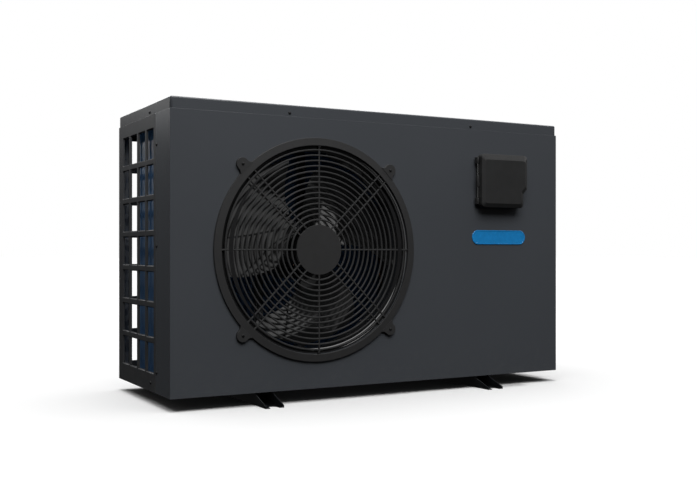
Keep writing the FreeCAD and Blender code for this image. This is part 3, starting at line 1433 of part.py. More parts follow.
def controller_cover():
    """Hinged cover with bevelled edges and a finger notch at its lower right."""
    body = new_body("controller_cover")
    front = f"({FRONT} - cover_depth)"
    back = f"({FRONT} - controller_base_depth - 0.3)"
    x0 = across(715)
    x1 = across(843)
    step = across(832)
    z0 = above(381)
    z1 = above(501)

    def face(level, left, right, low, high, radius):
        """Outline of the cover, drawn in from its edges by the four bevels."""
        sketch = new_sketch(body, "XZ_Plane", level)
        outline(sketch, [(f"{x0} + {left}", f"{z0} + {low}", radius),
                         (f"{step} - {right}", f"{z0} + {low}", radius),
                         (f"{step} - {right}", f"{above(413)} + {right} / 2"),
                         (f"{x1} - {right}", f"{above(425)} + {right} / 2"),
                         (f"{x1} - {right}", f"{z1} - {high}", radius),
                         (f"{x0} + {left}", f"{z1} - {high}", radius)])
        return sketch

    shoulder = f"({front} + bevel_depth)"
    edge = face(shoulder, 0, 0, 0, 0, 9)
    pad(edge, f"{back} - {shoulder}")
    bevel = body.newObject("PartDesign::AdditiveLoft", "controller_cover_bevel")
    bevel.Profile = face(shoulder, 0, 0, 0, 0, 9)
    bevel.Sections = [face(front, 8, 9, 9, 13, 4)]
    bevel.Ruled = True
    hollow = new_sketch(body, "XZ_Plane", f"{shoulder} + cover_wall")
    rectangle(hollow, f"{x0} + cover_wall", f"{z0} + cover_wall", f"{step} - cover_wall",
              f"{z1} - cover_wall", 7)
    pocket(hollow, 30)
    crown = new_sketch(body, "XZ_Plane", f"{front} + cover_wall")
    rectangle(crown, f"{x0} + 11", f"{z0} + 12", f"{step} - 12", f"{z1} - 16", 4)
    pocket(crown, "bevel_depth + 1")
    knuckle = new_sketch(body, "XY_Plane", above(427))
    circle(knuckle, HINGE_X, HINGE_Y, "hinge_radius")
    pad(knuckle, 26)
    arm = new_sketch(body, "XY_Plane", above(427))
    rectangle(arm, HINGE_X, f"{HINGE_Y} - hinge_radius", f"{x0} + 1", HINGE_Y)
    pad(arm, 26)
    bore = new_sketch(body, "XY_Plane", above(427))
    circle(bore, HINGE_X, HINGE_Y, "pin_radius + shaft_play")
    pocket(bore, 26)
    for low_cut, high_cut in LUG_SPANS:
        relief = new_sketch(body, "XY_Plane", f"{CONTROL_Z} + {low_cut} - 0.6")
        rectangle(relief, f"{HINGE_X} - 5", f"{HINGE_Y} - hinge_radius - 0.6",
                  f"{HINGE_X} + hinge_radius + 1.2", f"{back} + 1")
        pocket(relief, high_cut - low_cut + 1.2)


def badge():
    """Plain oblong badge with a raised rim."""
    body = new_body("badge")
    x = across(780)
    z = above(314)
    plate = new_sketch(body, "XZ_Plane", f"{FRONT} - badge_sheet")
    rectangle(plate, f"{x} - badge_width / 2", f"{z} - badge_height / 2",
              f"{x} + badge_width / 2", f"{z} + badge_height / 2", "badge_height / 2 - 0.1")
    pad(plate, "badge_sheet")
    panel = new_sketch(body, "XZ_Plane", f"{FRONT} - badge_sheet")
    rectangle(panel, f"{x} - badge_width / 2 + 2.5", f"{z} - badge_height / 2 + 2.5",
              f"{x} + badge_width / 2 - 2.5", f"{z} + badge_height / 2 - 2.5",
              "badge_height / 2 - 2.6")
    pocket(panel, 0.5)


# ---------------------------------------------------------------- the unit

def check(items):
    """Stop on a failed feature, a cut that removes nothing, or a bad shape."""
    faults = []
    for item in doc.Objects:
        if "Invalid" in item.State or "Error" in item.State:
            faults.append(f"{item.Name} failed")
        elif item.TypeId == "PartDesign::Pocket":
            if item.Shape.Volume > item.BaseFeature.Shape.Volume - 1e-3:
                faults.append(f"{item.Name} removes nothing")
    for label, item in items.items():
        if item.Shape.isNull() or not item.Shape.isValid():
            faults.append(f"{label} has a bad shape")
    if faults:
        raise RuntimeError("; ".join(faults))


def main():
    base_pan()
    foot_rail("foot_rail_left", "foot_left")
    foot_rail("foot_rail_right", "foot_right")
    foot_bolts()
    front_panel()
    left_grille()
    rear_grille()
    service_panel()
    top_lid()
    corner_post()
    partition_plate()
    screw_sets()
    fan_guard()
    fan_blades()
    fan_drive()
    evaporator()
    compressor()
    pipework()
    heat_exchanger()
    unions()
    electrics()
    controller_base()
    controller_face()
    controller_cover()
    badge()
    doc.recompute()
    check(SUBPARTS)
    os.makedirs("parts", exist_ok=True)
    for label, item in SUBPARTS.items():
        item.Shape.exportStep(f"parts/{label}.step")


main()
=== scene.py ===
import json
import math

import bmesh
import bpy
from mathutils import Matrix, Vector


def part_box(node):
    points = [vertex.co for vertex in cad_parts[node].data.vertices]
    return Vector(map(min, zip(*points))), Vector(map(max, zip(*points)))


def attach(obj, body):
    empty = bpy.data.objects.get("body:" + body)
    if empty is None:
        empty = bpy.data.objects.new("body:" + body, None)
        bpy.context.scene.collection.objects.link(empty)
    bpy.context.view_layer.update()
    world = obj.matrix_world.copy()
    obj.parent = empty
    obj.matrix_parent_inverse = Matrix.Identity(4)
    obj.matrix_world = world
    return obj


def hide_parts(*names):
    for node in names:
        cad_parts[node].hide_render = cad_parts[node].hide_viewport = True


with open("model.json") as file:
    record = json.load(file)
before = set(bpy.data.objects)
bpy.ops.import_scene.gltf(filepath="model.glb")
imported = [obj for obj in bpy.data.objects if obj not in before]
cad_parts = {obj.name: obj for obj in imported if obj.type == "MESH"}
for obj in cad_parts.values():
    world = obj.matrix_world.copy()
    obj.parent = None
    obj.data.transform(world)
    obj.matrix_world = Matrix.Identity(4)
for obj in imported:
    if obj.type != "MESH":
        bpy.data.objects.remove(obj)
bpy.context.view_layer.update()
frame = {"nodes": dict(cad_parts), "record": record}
nodes = frame["nodes"]

MM = 0.001
BODY = "cabinet"


# ---------------------------------------------------------------- node graphs

def new_material(name):
    """Empty Principled material with object coordinates in metres."""
    material = bpy.data.materials.new(name)
    material.use_nodes = True
    tree = material.node_tree
    tree.nodes.clear()
    out = tree.nodes.new("ShaderNodeOutputMaterial")
    shader = tree.nodes.new("ShaderNodeBsdfPrincipled")
    tree.links.new(shader.outputs["BSDF"], out.inputs["Surface"])
    where = tree.nodes.new("ShaderNodeTexCoord").outputs["Object"]
    return material, tree, shader, where


def stretch(tree, where, scale):
    """Coordinates scaled differently along each axis."""
    mapping = tree.nodes.new("ShaderNodeMapping")
    mapping.inputs["Scale"].default_value = scale
    tree.links.new(where, mapping.inputs["Vector"])
    return mapping.outputs["Vector"]


def noise(tree, where, scale, detail=3.0, rough=0.5):
    node = tree.nodes.new("ShaderNodeTexNoise")
    node.inputs["Scale"].default_value = scale
    node.inputs["Detail"].default_value = detail
    node.inputs["Roughness"].default_value = rough
    tree.links.new(where, node.inputs["Vector"])
    return node.outputs["Fac"]


def cells(tree, where, scale):
    """Angular cells, each with its own random grey."""
    node = tree.nodes.new("ShaderNodeTexVoronoi")
    node.inputs["Scale"].default_value = scale
    tree.links.new(where, node.inputs["Vector"])
    grey = tree.nodes.new("ShaderNodeRGBToBW")
    tree.links.new(node.outputs["Color"], grey.inputs[0])
    return grey.outputs[0]


def waves(tree, where, scale, direction, distortion):
    node = tree.nodes.new("ShaderNodeTexWave")
    node.wave_type = "BANDS"
    node.bands_direction = direction
    node.inputs["Scale"].default_value = scale
    node.inputs["Distortion"].default_value = distortion
    tree.links.new(where, node.inputs["Vector"])
    return node.outputs["Fac"]


def remap(tree, value, low, high, start=0.3, end=0.7):
    """Value from start to end turned into low to high, and held there outside."""
    node = tree.nodes.new("ShaderNodeMapRange")
    node.inputs["From Min"].default_value = start
    node.inputs["From Max"].default_value = end
    node.inputs["To Min"].default_value = low
    node.inputs["To Max"].default_value = high
    tree.links.new(value, node.inputs["Value"])
    return node.outputs["Result"]


def ramp(tree, value, stops):
    """Value turned into a colour, by stops of (place, colour)."""
    node = tree.nodes.new("ShaderNodeValToRGB")
    elements = node.color_ramp.elements
    while len(elements) < len(stops):
        elements.new(0.5)
    for element, (place, colour) in zip(elements, stops):
        element.position = place
        element.color = (*colour, 1)
    tree.links.new(value, node.inputs["Fac"])
    return node.outputs["Color"]


def mix(tree, share, under, colour):
    """One plain colour laid over another colour by a share from 0 to 1."""
    node = tree.nodes.new("ShaderNodeMix")
    node.data_type = "RGBA"
    tree.links.new(share, node.inputs[0])
    tree.links.new(under, node.inputs[6])
    node.inputs[7].default_value = (*colour, 1)
    return node.outputs[2]


def bump(tree, shader, height, strength, depth, under=None):
    """Relief of a depth in metres, on top of an earlier relief if there is one."""
    node = tree.nodes.new("ShaderNodeBump")
    node.inputs["Strength"].default_value = strength
    node.inputs["Distance"].default_value = depth
    tree.links.new(height, node.inputs["Height"])
    if under is not None:
        tree.links.new(under, node.inputs["Normal"])
    tree.links.new(node.outputs["Normal"], shader.inputs["Normal"])
    return node.outputs["Normal"]


def shade(colour, factor):
    return tuple(min(1.0, part * factor) for part in colour)


def mottled(tree, value, colour, spread, start):
    """Colour that varies by a share of itself, between start and 1 - start of a noise."""
    return ramp(tree, value, [(start, shade(colour, 1 - spread)),
                              (1 - start, shade(colour, 1 + spread))])


def dusted(tree, where, tone, heights, scale, amount, start, colour):
    """Tone with settled dust: patches that fade out between two heights in metres."""
    split = tree.nodes.new("ShaderNodeSeparateXYZ")
    tree.links.new(where, split.inputs[0])
    low = remap(tree, split.outputs["Z"], 1.0, 0.0, *heights)
    specks = remap(tree, noise(tree, where, scale, 6.0, 0.7), 0.0, amount, start, 0.7)
    share = tree.nodes.new("ShaderNodeMath")
    share.operation = "MULTIPLY"
    tree.links.new(low, share.inputs[0])
    tree.links.new(specks, share.inputs[1])
    return mix(tree, share.outputs[0], tone, colour)


# ---------------------------------------------------------------- finishes

def finish_like(name, colour, rough, metallic=0.0, mottle=(40, 0.12), haze=(9, 0.06),
                grain=(900, 0.25, 0.00012), coat=0.0, coat_rough=0.2, sheen=0.0, spec=0.5,
                dust=0.0, brushed=None):
    """Mottled colour, patchy gloss, surface grain and settled dust.

    mottle is a noise scale and a share of the colour, haze a noise scale and a step of
    roughness, grain a noise scale, a strength and a depth in metres. brushed stretches
    the grain along the axes.
    """
    material, tree, shader, where = new_material(name)
    shader.inputs["Metallic"].default_value = metallic
    shader.inputs["Specular IOR Level"].default_value = spec
    shader.inputs["Coat Weight"].default_value = coat
    shader.inputs["Coat Roughness"].default_value = coat_rough
    shader.inputs["Sheen Weight"].default_value = sheen
    tone = mottled(tree, noise(tree, where, mottle[0], 4.0, 0.55), colour, mottle[1], 0.32)
    if dust:
        tone = dusted(tree, where, tone, (0.0, 0.16), 55, dust, 0.42, (0.22, 0.21, 0.19))
    tree.links.new(tone, shader.inputs["Base Color"])
    gloss = noise(tree, where, haze[0], 3.0, 0.6)
    tree.links.new(remap(tree, gloss, rough - haze[1], rough + haze[1]),
                   shader.inputs["Roughness"])
    grain_space = where if brushed is None else stretch(tree, where, brushed)
    fine = noise(tree, grain_space, grain[0], 2.0, 0.5)
    bump(tree, shader, fine, grain[1], grain[2])
    return material


def coated_steel(name, colour, rough):
    """Powder coat on sheet steel: orange peel over very slight waviness of the sheet."""
    material, tree, shader, where = new_material(name)
    shader.inputs["Specular IOR Level"].default_value = 0.5
    tone = mottled(tree, noise(tree, where, 5, 3.0, 0.5), colour, 0.02, 0.3)
    flecks = remap(tree, cells(tree, where, 900), 0.0, 0.05, 0.2, 0.9)
    tone = mix(tree, flecks, tone, shade(colour, 1.6))
    tone = dusted(tree, where, tone, (0.02, 0.12), 60, 0.06, 0.45, (0.16, 0.155, 0.145))
    tree.links.new(tone, shader.inputs["Base Color"])
    haze = noise(tree, where, 6, 3.0, 0.6)
    tree.links.new(remap(tree, haze, rough - 0.02, rough + 0.02), shader.inputs["Roughness"])
    waviness = bump(tree, shader, noise(tree, where, 5, 1.0, 0.4), 0.03, 0.002)
    peel = noise(tree, where, 620, 1.5, 0.5)
    bump(tree, shader, peel, 0.045, 0.00012, waviness)
    return material


def zinc_steel(name):
    """Galvanised sheet: angular spangles with slightly different gloss."""
    material, tree, shader, where = new_material(name)
    shader.inputs["Metallic"].default_value = 0.9
    spangle = cells(tree, where, 85)
    tone = ramp(tree, spangle, [(0.2, (0.20, 0.205, 0.21)), (0.8, (0.34, 0.35, 0.36))])
    tree.links.new(tone, shader.inputs["Base Color"])
    tree.links.new(remap(tree, spangle, 0.34, 0.55, 0.2, 0.8), shader.inputs["Roughness"])
    bump(tree, shader, noise(tree, where, 240, 4.0, 0.6), 0.12, 0.0002)
    return material


def fin_foil(name, colour):
    """Coated aluminium foil with fine pressed ripples and duller patches."""
    material, tree, shader, where = new_material(name)
    shader.inputs["Metallic"].default_value = 0.35
    shader.inputs["Specular IOR Level"].default_value = 0.4
    patches = noise(tree, stretch(tree, where, (1, 1, 0.35)), 22, 4.0, 0.6)
    tree.links.new(mottled(tree, patches, colour, 0.18, 0.3), shader.inputs["Base Color"])
    tree.links.new(remap(tree, noise(tree, where, 60, 3.0), 0.36, 0.5),
                   shader.inputs["Roughness"])
    bump(tree, shader, waves(tree, where, 320, "Z", 1.5), 0.2, 0.0001)
    return material


FINISHES = {
    "grille_paint": dict(colour=(0.031, 0.0325, 0.035), rough=0.40, mottle=(18, 0.06),
                         grain=(760, 0.14, 0.00012), dust=0.1),
    "guard_plastic": dict(colour=(0.021, 0.021, 0.0215), rough=0.6, mottle=(60, 0.05),
                          grain=(1400, 0.12, 0.0001), spec=0.25),
    "black_screws": dict(colour=(0.006, 0.006, 0.0065), rough=0.6, mottle=(300, 0.3),
                         grain=(2600, 0.2, 0.00005), spec=0.2),
    "steel_bolts": dict(colour=(0.46, 0.46, 0.45), rough=0.34, metallic=1.0,
                        mottle=(200, 0.15), grain=(1500, 0.2, 0.00005)),
    "fan_plastic": dict(colour=(0.009, 0.0092, 0.0095), rough=0.08, mottle=(16, 0.08),
                        haze=(12, 0.02), grain=(900, 0.02, 0.0001)),
    "shaft_steel": dict(colour=(0.5, 0.5, 0.49), rough=0.28, metallic=1.0,
                        mottle=(150, 0.1), grain=(900, 0.2, 0.00005), brushed=(1, 0.05, 1)),
    "copper_tube": dict(colour=(0.72, 0.36, 0.22), rough=0.27, metallic=1.0,
                        mottle=(45, 0.22), grain=(700, 0.15, 0.0001)),
    "motor_paint": dict(colour=(0.05, 0.051, 0.054), rough=0.4, mottle=(70, 0.1)),
    "compressor_paint": dict(colour=(0.014, 0.014, 0.015), rough=0.24, mottle=(35, 0.2),
                             coat=0.4, coat_rough=0.12),
    "black_rubber": dict(colour=(0.018, 0.018, 0.018), rough=0.75, mottle=(120, 0.2),
                         sheen=0.15),
    "vessel_plastic": dict(colour=(0.66, 0.67, 0.66), rough=0.34, mottle=(20, 0.05)),
    "union_plastic": dict(colour=(0.035, 0.036, 0.039), rough=0.42, mottle=(80, 0.1),
                          grain=(1300, 0.2, 0.0001)),
    "titanium": dict(colour=(0.42, 0.40, 0.38), rough=0.3, metallic=1.0, mottle=(60, 0.15)),
    "valve_brass": dict(colour=(0.68, 0.52, 0.24), rough=0.3, metallic=1.0,
                        mottle=(90, 0.14)),
    "box_plastic": dict(colour=(0.28, 0.285, 0.29), rough=0.48, mottle=(30, 0.07)),
    "board_green": dict(colour=(0.014, 0.12, 0.05), rough=0.32, mottle=(420, 0.35)),
    "terminal_plastic": dict(colour=(0.52, 0.52, 0.48), rough=0.45, mottle=(90, 0.08)),
    "capacitor_can": dict(colour=(0.62, 0.62, 0.62), rough=0.3, metallic=1.0,
                          mottle=(60, 0.08), brushed=(1, 1, 0.03)),
    "controller_plastic": dict(colour=(0.023, 0.0232, 0.0235), rough=0.5,
                               mottle=(50, 0.06), grain=(1500, 0.08, 0.0001), spec=0.12),
    "display_glass": dict(colour=(0.006, 0.008, 0.009), rough=0.08, mottle=(40, 0.3),
                          haze=(20, 0.03), coat=0.6, coat_rough=0.04),
    "button_plastic": dict(colour=(0.34, 0.35, 0.36), rough=0.34, mottle=(150, 0.08),
                           grain=(2200, 0.15, 0.00005)),
    "badge_face": dict(colour=(0.010, 0.20, 0.50), rough=0.22, mottle=(90, 0.08),
                       haze=(30, 0.04), coat=0.5, coat_rough=0.08),
}
MATERIALS = {name: finish_like(name, **look) for name, look in FINISHES.items()}
MATERIALS["cabinet_paint"] = coated_steel("cabinet_paint", (0.052, 0.0565, 0.0635), 0.24)
MATERIALS["galvanised_steel"] = zinc_steel("galvanised_steel")
MATERIALS["blue_fins"] = fin_foil("blue_fins", (0.060, 0.145, 0.300))


# ---------------------------------------------------------------- CAD nodes

def edge_rounding(item, width):
    """Small real radii on a CAD node's sharp edges."""
    weld = item.modifiers.new("weld", "WELD")
    weld.merge_threshold = 0.002 * MM
    flat = item.modifiers.new("flat", "DECIMATE")
    flat.decimate_type = "DISSOLVE"
    flat.angle_limit = math.radians(0.3)
    bevel = item.modifiers.new("bevel", "BEVEL")
    bevel.width = width
    bevel.segments = 2
    bevel.limit_method = "ANGLE"
    bevel.angle_limit = math.radians(40)
    bevel.harden_normals = True
    bevel.use_clamp_overlap = False
    bevel.miter_outer = "MITER_ARC"


# Edge radii in millimetres.
ROUNDED = {
    "front_panel": 0.5, "top_lid": 0.5, "left_grille": 0.6, "rear_grille": 0.6,
    "service_panel": 0.5, "foot_rail_left": 0.4, "foot_rail_right": 0.4,
    "controller_base": 0.5, "controller_cover": 0.4, "controller_faceplate": 0.4,
    "terminal_cover": 0.4, "badge": 0.3,
}

slots = {part["node"]: part["material_slot"] for part in frame["record"]["subparts"]}
for name, item in nodes.items():
    for slot in item.material_slots:
        slot.material = MATERIALS[slots[name]]
    if name in ROUNDED:
        edge_rounding(item, ROUNDED[name] * MM)


# ---------------------------------------------------------------- mesh helpers

def piece(name, mesh, slot, smooth=30):
    """Object for a bmesh that rides on the cabinet and takes one slot's finish."""
    made = bpy.data.meshes.new(name)
    bmesh.ops.recalc_face_normals(mesh, faces=mesh.faces)
    mesh.to_mesh(made)
    mesh.free()
    item = bpy.data.objects.new(name, made)
    bpy.context.scene.collection.objects.link(item)
    made.materials.append(MATERIALS[slot])
    made.shade_smooth()
    made.set_sharp_from_angle(angle=math.radians(smooth))
    even = item.modifiers.new("even", "WEIGHTED_NORMAL")
    even.keep_sharp = True
    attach(item, BODY)
    return item


def band(mesh, first, second):
    """Ring of faces between two closed loops with the same number of points."""
    for i in range(len(first)):
        j = (i + 1) % len(first)
        mesh.faces.new((first[i], first[j], second[j], second[i]))


def loft(mesh, loops):
    """Closed solid through a row of loops."""
    for first, second in zip(loops, loops[1:]):
        band(mesh, first, second)
    mesh.faces.new(loops[0])
    mesh.faces.new(loops[-1])


def lathe(mesh, profile, centre, steps):
    """Closed section (radius, depth) turned about the line along Y through the centre."""
    rings = []
    for step in range(steps):
        turn = 2 * math.pi * step / steps
        cos, sin = math.cos(turn), math.sin(turn)
        rings.append([mesh.verts.new((centre.x + r * cos, y, centre.z + r * sin))
                      for r, y in profile])
    for step in range(steps):
        band(mesh, rings[step], rings[(step + 1) % steps])


def rounded_section(half_width, y0, y1, corner, steps=3):
    """Rounded rectangle section around radius 0, from y0 to y1, as (radius, depth)."""
    points = []
    for cx, cy, start in ((half_width - corner, y1 - corner, 0),
                          (-half_width + corner, y1 - corner, 90),
                          (-half_width + corner, y0 + corner, 180),
                          (half_width - corner, y0 + corner, 270)):
        for step in range(steps + 1):
            turn = math.radians(start + 90 * step / steps)
            points.append((cx + corner * math.cos(turn), cy + corner * math.sin(turn)))
    return points


# ---------------------------------------------------------------- evaporator

# Thickness of the L-shaped coil and outer radius of its bend, in metres.
COIL_THICK, COIL_BEND = 0.044, 0.055


def fin_places(lo, hi, pitch):
    """Middle and turn of each fin: along the left wall, round the bend, along the rear."""
    middle = COIL_BEND - COIL_THICK / 2
    places = []
    y = lo.y + pitch / 2
    while y < hi.y - COIL_BEND:
        places.append((Vector((lo.x + COIL_THICK / 2, y)), 0.0))
        y += pitch
    corner = Vector((lo.x + COIL_BEND, hi.y - COIL_BEND))
    count = int(math.pi / 2 * middle / pitch)
    for step in range(count):
        turn = math.pi / 2 * (step + 0.5) / count
        spot = corner + middle * Vector((-math.cos(turn), math.sin(turn)))
        places.append((spot, -turn))
    x = lo.x + COIL_BEND + pitch / 2
    while x < hi.x:
        places.append((Vector((x, hi.y - COIL_THICK / 2)), -math.pi / 2))
        x += pitch
    return places


def fin_section(foil, ripple, ripples, fold, fold_depth):
    """Points (reach, sideways, width) across one rippled fin with a folded outer edge."""
    edge = -COIL_THICK / 2
    section = [(edge, 0.0, fold), (edge + fold_depth, 0.0, fold)]
    for step in range(ripples + 1):
        reach = max(COIL_THICK * (step / ripples - 0.5), edge + fold_depth * 1.1)
        section.append((reach, ripple * (1 if step % 2 else -1), foil))
    return section


def coil_fins(lo, hi):
    """Thin rippled fins with a folded outer edge along the L-shaped coil."""
    section = fin_section(foil=0.00022, ripple=0.0003, ripples=8, fold=0.0011,
                          fold_depth=0.0005)
    mesh = bmesh.new()
    for spot, turn in fin_places(lo, hi, pitch=0.0019):
        along = Vector((math.cos(turn), math.sin(turn)))
        side = Vector((-along.y, along.x))
        front, back = [], []
        for reach, sway, width in section:
            base = spot + along * reach + side * sway
            front.append(base + side * width / 2)
            back.append(base - side * width / 2)
        loop = front + back[::-1]
        low = [mesh.verts.new((p.x, p.y, lo.z)) for p in loop]
        high = [mesh.verts.new((p.x, p.y, hi.z)) for p in loop]
        band(mesh, low, high)
        for i in range(len(section) - 1):
            j = len(loop) - 1 - i
            for level in (low, high):
                mesh.faces.new((level[i], level[i + 1], level[j - 1], level[j]))
    item = piece("coil_fins", mesh, "blue_fins", smooth=50)
    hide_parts("evaporator_fins")


def tube_path(lo, hi, row, z):
    """Points of one tube, a row's distance inside the coil's outer face."""
    corner_x, corner_y, inner = lo.x + COIL_BEND, hi.y - COIL_BEND, COIL_BEND - row
    path = [Vector((lo.x + row, lo.y, z))]
    arc_steps = 8
    for step in range(arc_steps + 1):
        turn = math.pi / 2 * step / arc_steps
        path.append(Vector((corner_x - inner * math.cos(turn),
                            corner_y + inner * math.sin(turn), z)))
    path.append(Vector((hi.x, hi.y - row, z)))
    return path


def coil_tubes(lo, hi):
    """Two rows of copper tubes through the fins."""
    radius, sides, climb, tubes = 0.0048, 10, 0.025, 20
    turns = [2 * math.pi * side / sides for side in range(sides)]
    up = Vector((0, 0, 1))
    mesh = bmesh.new()
    for row, first in ((0.011, 0.022), (0.033, 0.047)):
        for step in range(tubes):
            path = tube_path(lo, hi, row, lo.z + first + climb * step)
            loops = []
            for i, here in enumerate(path):
                ahead = path[min(i + 1, len(path) - 1)] - path[max(i - 1, 0)]
                out = Vector((-ahead.y, ahead.x, 0)).normalized()
                loops.append([mesh.verts.new(here + radius * (
                    out * math.cos(turn) + up * math.sin(turn))) for turn in turns])
            loft(mesh, loops)
    piece("coil_tubes", mesh, "copper_tube")


coil_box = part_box("evaporator_fins")
coil_fins(*coil_box)
coil_tubes(*coil_box)


# ---------------------------------------------------------------- grille windows

def reveals():
    """Sloped reveals round the windows of both grilles."""
    wide, high, pitch, climb = 48 * MM, 62 * MM, 57.5 * MM, 71.75 * MM
    rows, left_columns, rear_columns = 7, 4, 11
    low, left_start, rear_start = 62 * MM, -74.5 * MM, -473 * MM
    inset, shallow, deep = 1.8 * MM, 0.15 * MM, 3.4 * MM
    left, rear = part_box("left_grille"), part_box("rear_grille")
    walls = ((Vector((left[0].x, 0)), Vector((1, 0)), Vector((0, 1)), left_start,
              left_columns),
             (Vector((0, rear[1].y)), Vector((0, -1)), Vector((1, 0)), rear_start,
              rear_columns))
    mesh = bmesh.new()
    for skin, inward, along, start, columns in walls:
        for column in range(columns):
            for row in range(rows):
                a0 = start + pitch * column
                z0 = low + climb * row
                loops = []
                for trim, depth in ((0, shallow), (inset, deep), (0, deep)):
                    a_low, a_high = a0 + trim, a0 + wide - trim
                    z_low, z_high = z0 + trim, z0 + high - trim
                    loop = []
                    for a, z in ((a_low, z_low), (a_high, z_low), (a_high, z_high),
                                 (a_low, z_high)):
                        flat = skin + inward * depth + along * a
                        loop.append(mesh.verts.new((flat.x, flat.y, z)))
                    loops.append(loop)
                for i in range(len(loops)):
                    band(mesh, loops[i], loops[(i + 1) % len(loops)])
    piece("window_reveals", mesh, "grille_paint", smooth=20)


reveals()


# ---------------------------------------------------------------- fan guard

# Radii and edge bevel of the guard, in millimetres.
DISC, FLANGE_IN, FLANGE_OUT, GUARD_EDGE = 51.5, 214.5, 230, 0.35
RING_COUNT, FIRST_RING, RING_PITCH = 14, 62, 11.03
SPOKE_IN, SPOKE_OUT, SPOKE_GAP = 48, 216, 20


def spoke(mesh, centre, angle, offset, front, back):
    """Rounded bar from the disc to the flange, offset sideways from the centre."""
    half_width, corner = 1.75 * MM, 1.2 * MM
    section = rounded_section(half_width, front, back, corner, steps=2)
    along = Vector((math.cos(angle), 0, math.sin(angle)))
    side = Vector((-along.z, 0, along.x))
    loops = []
    for reach in (SPOKE_IN * MM, SPOKE_OUT * MM):
        base = Vector((centre.x, 0, centre.z)) + along * reach + side * offset
        loops.append([mesh.verts.new(base + side * w + Vector((0, y, 0)))
                      for w, y in section])
    loft(mesh, loops)


def lug_outline():
    """Outline of a screw lug in millimetres: a neck that flares into the flange, a tip."""
    root, length, half_angle, flare, curve, neck_steps = 229.2, 11, 3.1, 1.5, 2.5, 6
    tip_place, tip_radius, tip_steps = 240, 13, 12
    neck = []
    for step in range(neck_steps):
        share = step / neck_steps
        bearing = math.radians(half_angle + flare * (1 - share) ** curve)
        radius = root + length * share
        neck.append((radius * math.cos(bearing), radius * math.sin(bearing)))
    tip = []
    for step in range(tip_steps + 1):
        turn = math.radians(-90 + 180 * step / tip_steps)
        tip.append((tip_place + tip_radius * math.cos(turn), tip_radius * math.sin(turn)))
    return [Vector(spot) for spot in [(x, -y) for x, y in neck] + tip + neck[::-1]]


def lug(mesh, centre, angle, front, back):
    """Screw lug on the flange, with a bevelled front edge."""
    middle = Vector((236, 0))
    along = Vector((math.cos(angle), math.sin(angle)))
    side = Vector((-along.y, along.x))
    loops = []
    for inset, y in ((0, back), (0, front + GUARD_EDGE * MM), (GUARD_EDGE, front)):
        loop = []
        for spot in lug_outline():
            inner = spot + (middle - spot).normalized() * inset
            flat = along * inner.x + side * inner.y
            loop.append(mesh.verts.new((centre.x + flat.x * MM, y, centre.z + flat.y * MM)))
        loops.append(loop)
    loft(mesh, loops)


def painted_shade_band(mesh, centre, side, depth):
    """Black crescent of painted shade over the second ring from outside, widest at the
    middle spoke.
    """
    radius, reach, steps = 194.4, 50, 40
    thin, swell, behind, before = 0.4, 4.2, 0.3, -0.5
    loops = []
    for step in range(steps + 1):
        bearing = -reach + 2 * reach * step / steps
        half = thin + swell * math.cos(math.radians(bearing * 90 / reach)) ** 0.8
        turn = math.radians(bearing)
        loop = []
        for r, y in ((radius - half, behind), (radius - half, before),
                     (radius + half, before), (radius + half, behind)):
            flat = Vector((side * math.cos(turn), math.sin(turn))) * r * MM
            loop.append(mesh.verts.new((centre.x + flat.x, depth + y * MM,
                                        centre.z + flat.y)))
        loops.append(loop)
    loft(mesh, loops)


def guard():
    """Moulded guard: rounded rings and spokes, plain disc, raised flange with lugs."""
    lo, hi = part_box("fan_guard")
    centre = (lo + hi) / 2
    front, back = lo.y, hi.y
    wire_depth, wire_half, wire_corner, wire_gap = 4 * MM, 1.9 * MM, 1.3 * MM, 0.1 * MM
    wire_front = back - wire_depth
    wire = rounded_section(wire_half, wire_front, back - wire_gap, wire_corner)
    mesh = bmesh.new()
    for index in range(RING_COUNT):
        radius = (FIRST_RING + RING_PITCH * index) * MM
        lathe(mesh, [(radius + r, y) for r, y in wire], centre, steps=160)
    rim, slope, rim_drop = 0.4, 0.9 * MM, 1.4 * MM
    flange = [(FLANGE_IN, back), (FLANGE_IN, front + GUARD_EDGE * MM),
              (FLANGE_IN + GUARD_EDGE, front), (FLANGE_OUT - rim, front + slope),
              (FLANGE_OUT, front + rim_drop), (FLANGE_OUT, back)]
    lathe(mesh, [(r * MM, y) for r, y in flange], centre, steps=192)
    pole = 0.2
    disc = [(pole, back), (DISC, back), (DISC, wire_front + GUARD_EDGE * MM),
            (DISC - GUARD_EDGE, wire_front), (pole, wire_front)]
    lathe(mesh, [(r * MM, y) for r, y in disc], centre, steps=128)
    spoke_front = wire_front - 0.15 * MM
    diagonals = [math.radians(45 + 90 * quarter) for quarter in range(4)]
    for quarter, diagonal in enumerate(diagonals):
        spoke(mesh, centre, math.radians(90 * quarter), 0, spoke_front, back)
        for side in (-1, 1):
            spoke(mesh, centre, diagonal, side * SPOKE_GAP / 2 * MM, spoke_front, back)
    for diagonal in diagonals:
        lug(mesh, centre, diagonal, front, back)
    item = piece("guard_rings", mesh, "guard_plastic", smooth=35)
    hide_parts("fan_guard")

    # Knobs where the vertical spoke meets the flange, and the crescents, take the black
    # screw finish as painted shade: the knobs are real lumps, the crescents stand in for
    # shade alone.
    knob_place, knob_radius, knob_rise, knob_corner = 213 * MM, 3.4 * MM, 1.2 * MM, 0.6 * MM
    knob = rounded_section(knob_radius, wire_front - knob_rise, back, knob_corner)
    knob = [(max(r, 0.1 * MM), y) for r, y in knob]
    mesh = bmesh.new()
    for side in (-1, 1):
        lathe(mesh, knob, centre + Vector((0, 0, side * knob_place)), steps=24)
        painted_shade_band(mesh, centre, side, wire_front)
    piece("guard_painted_shade", mesh, "black_screws")


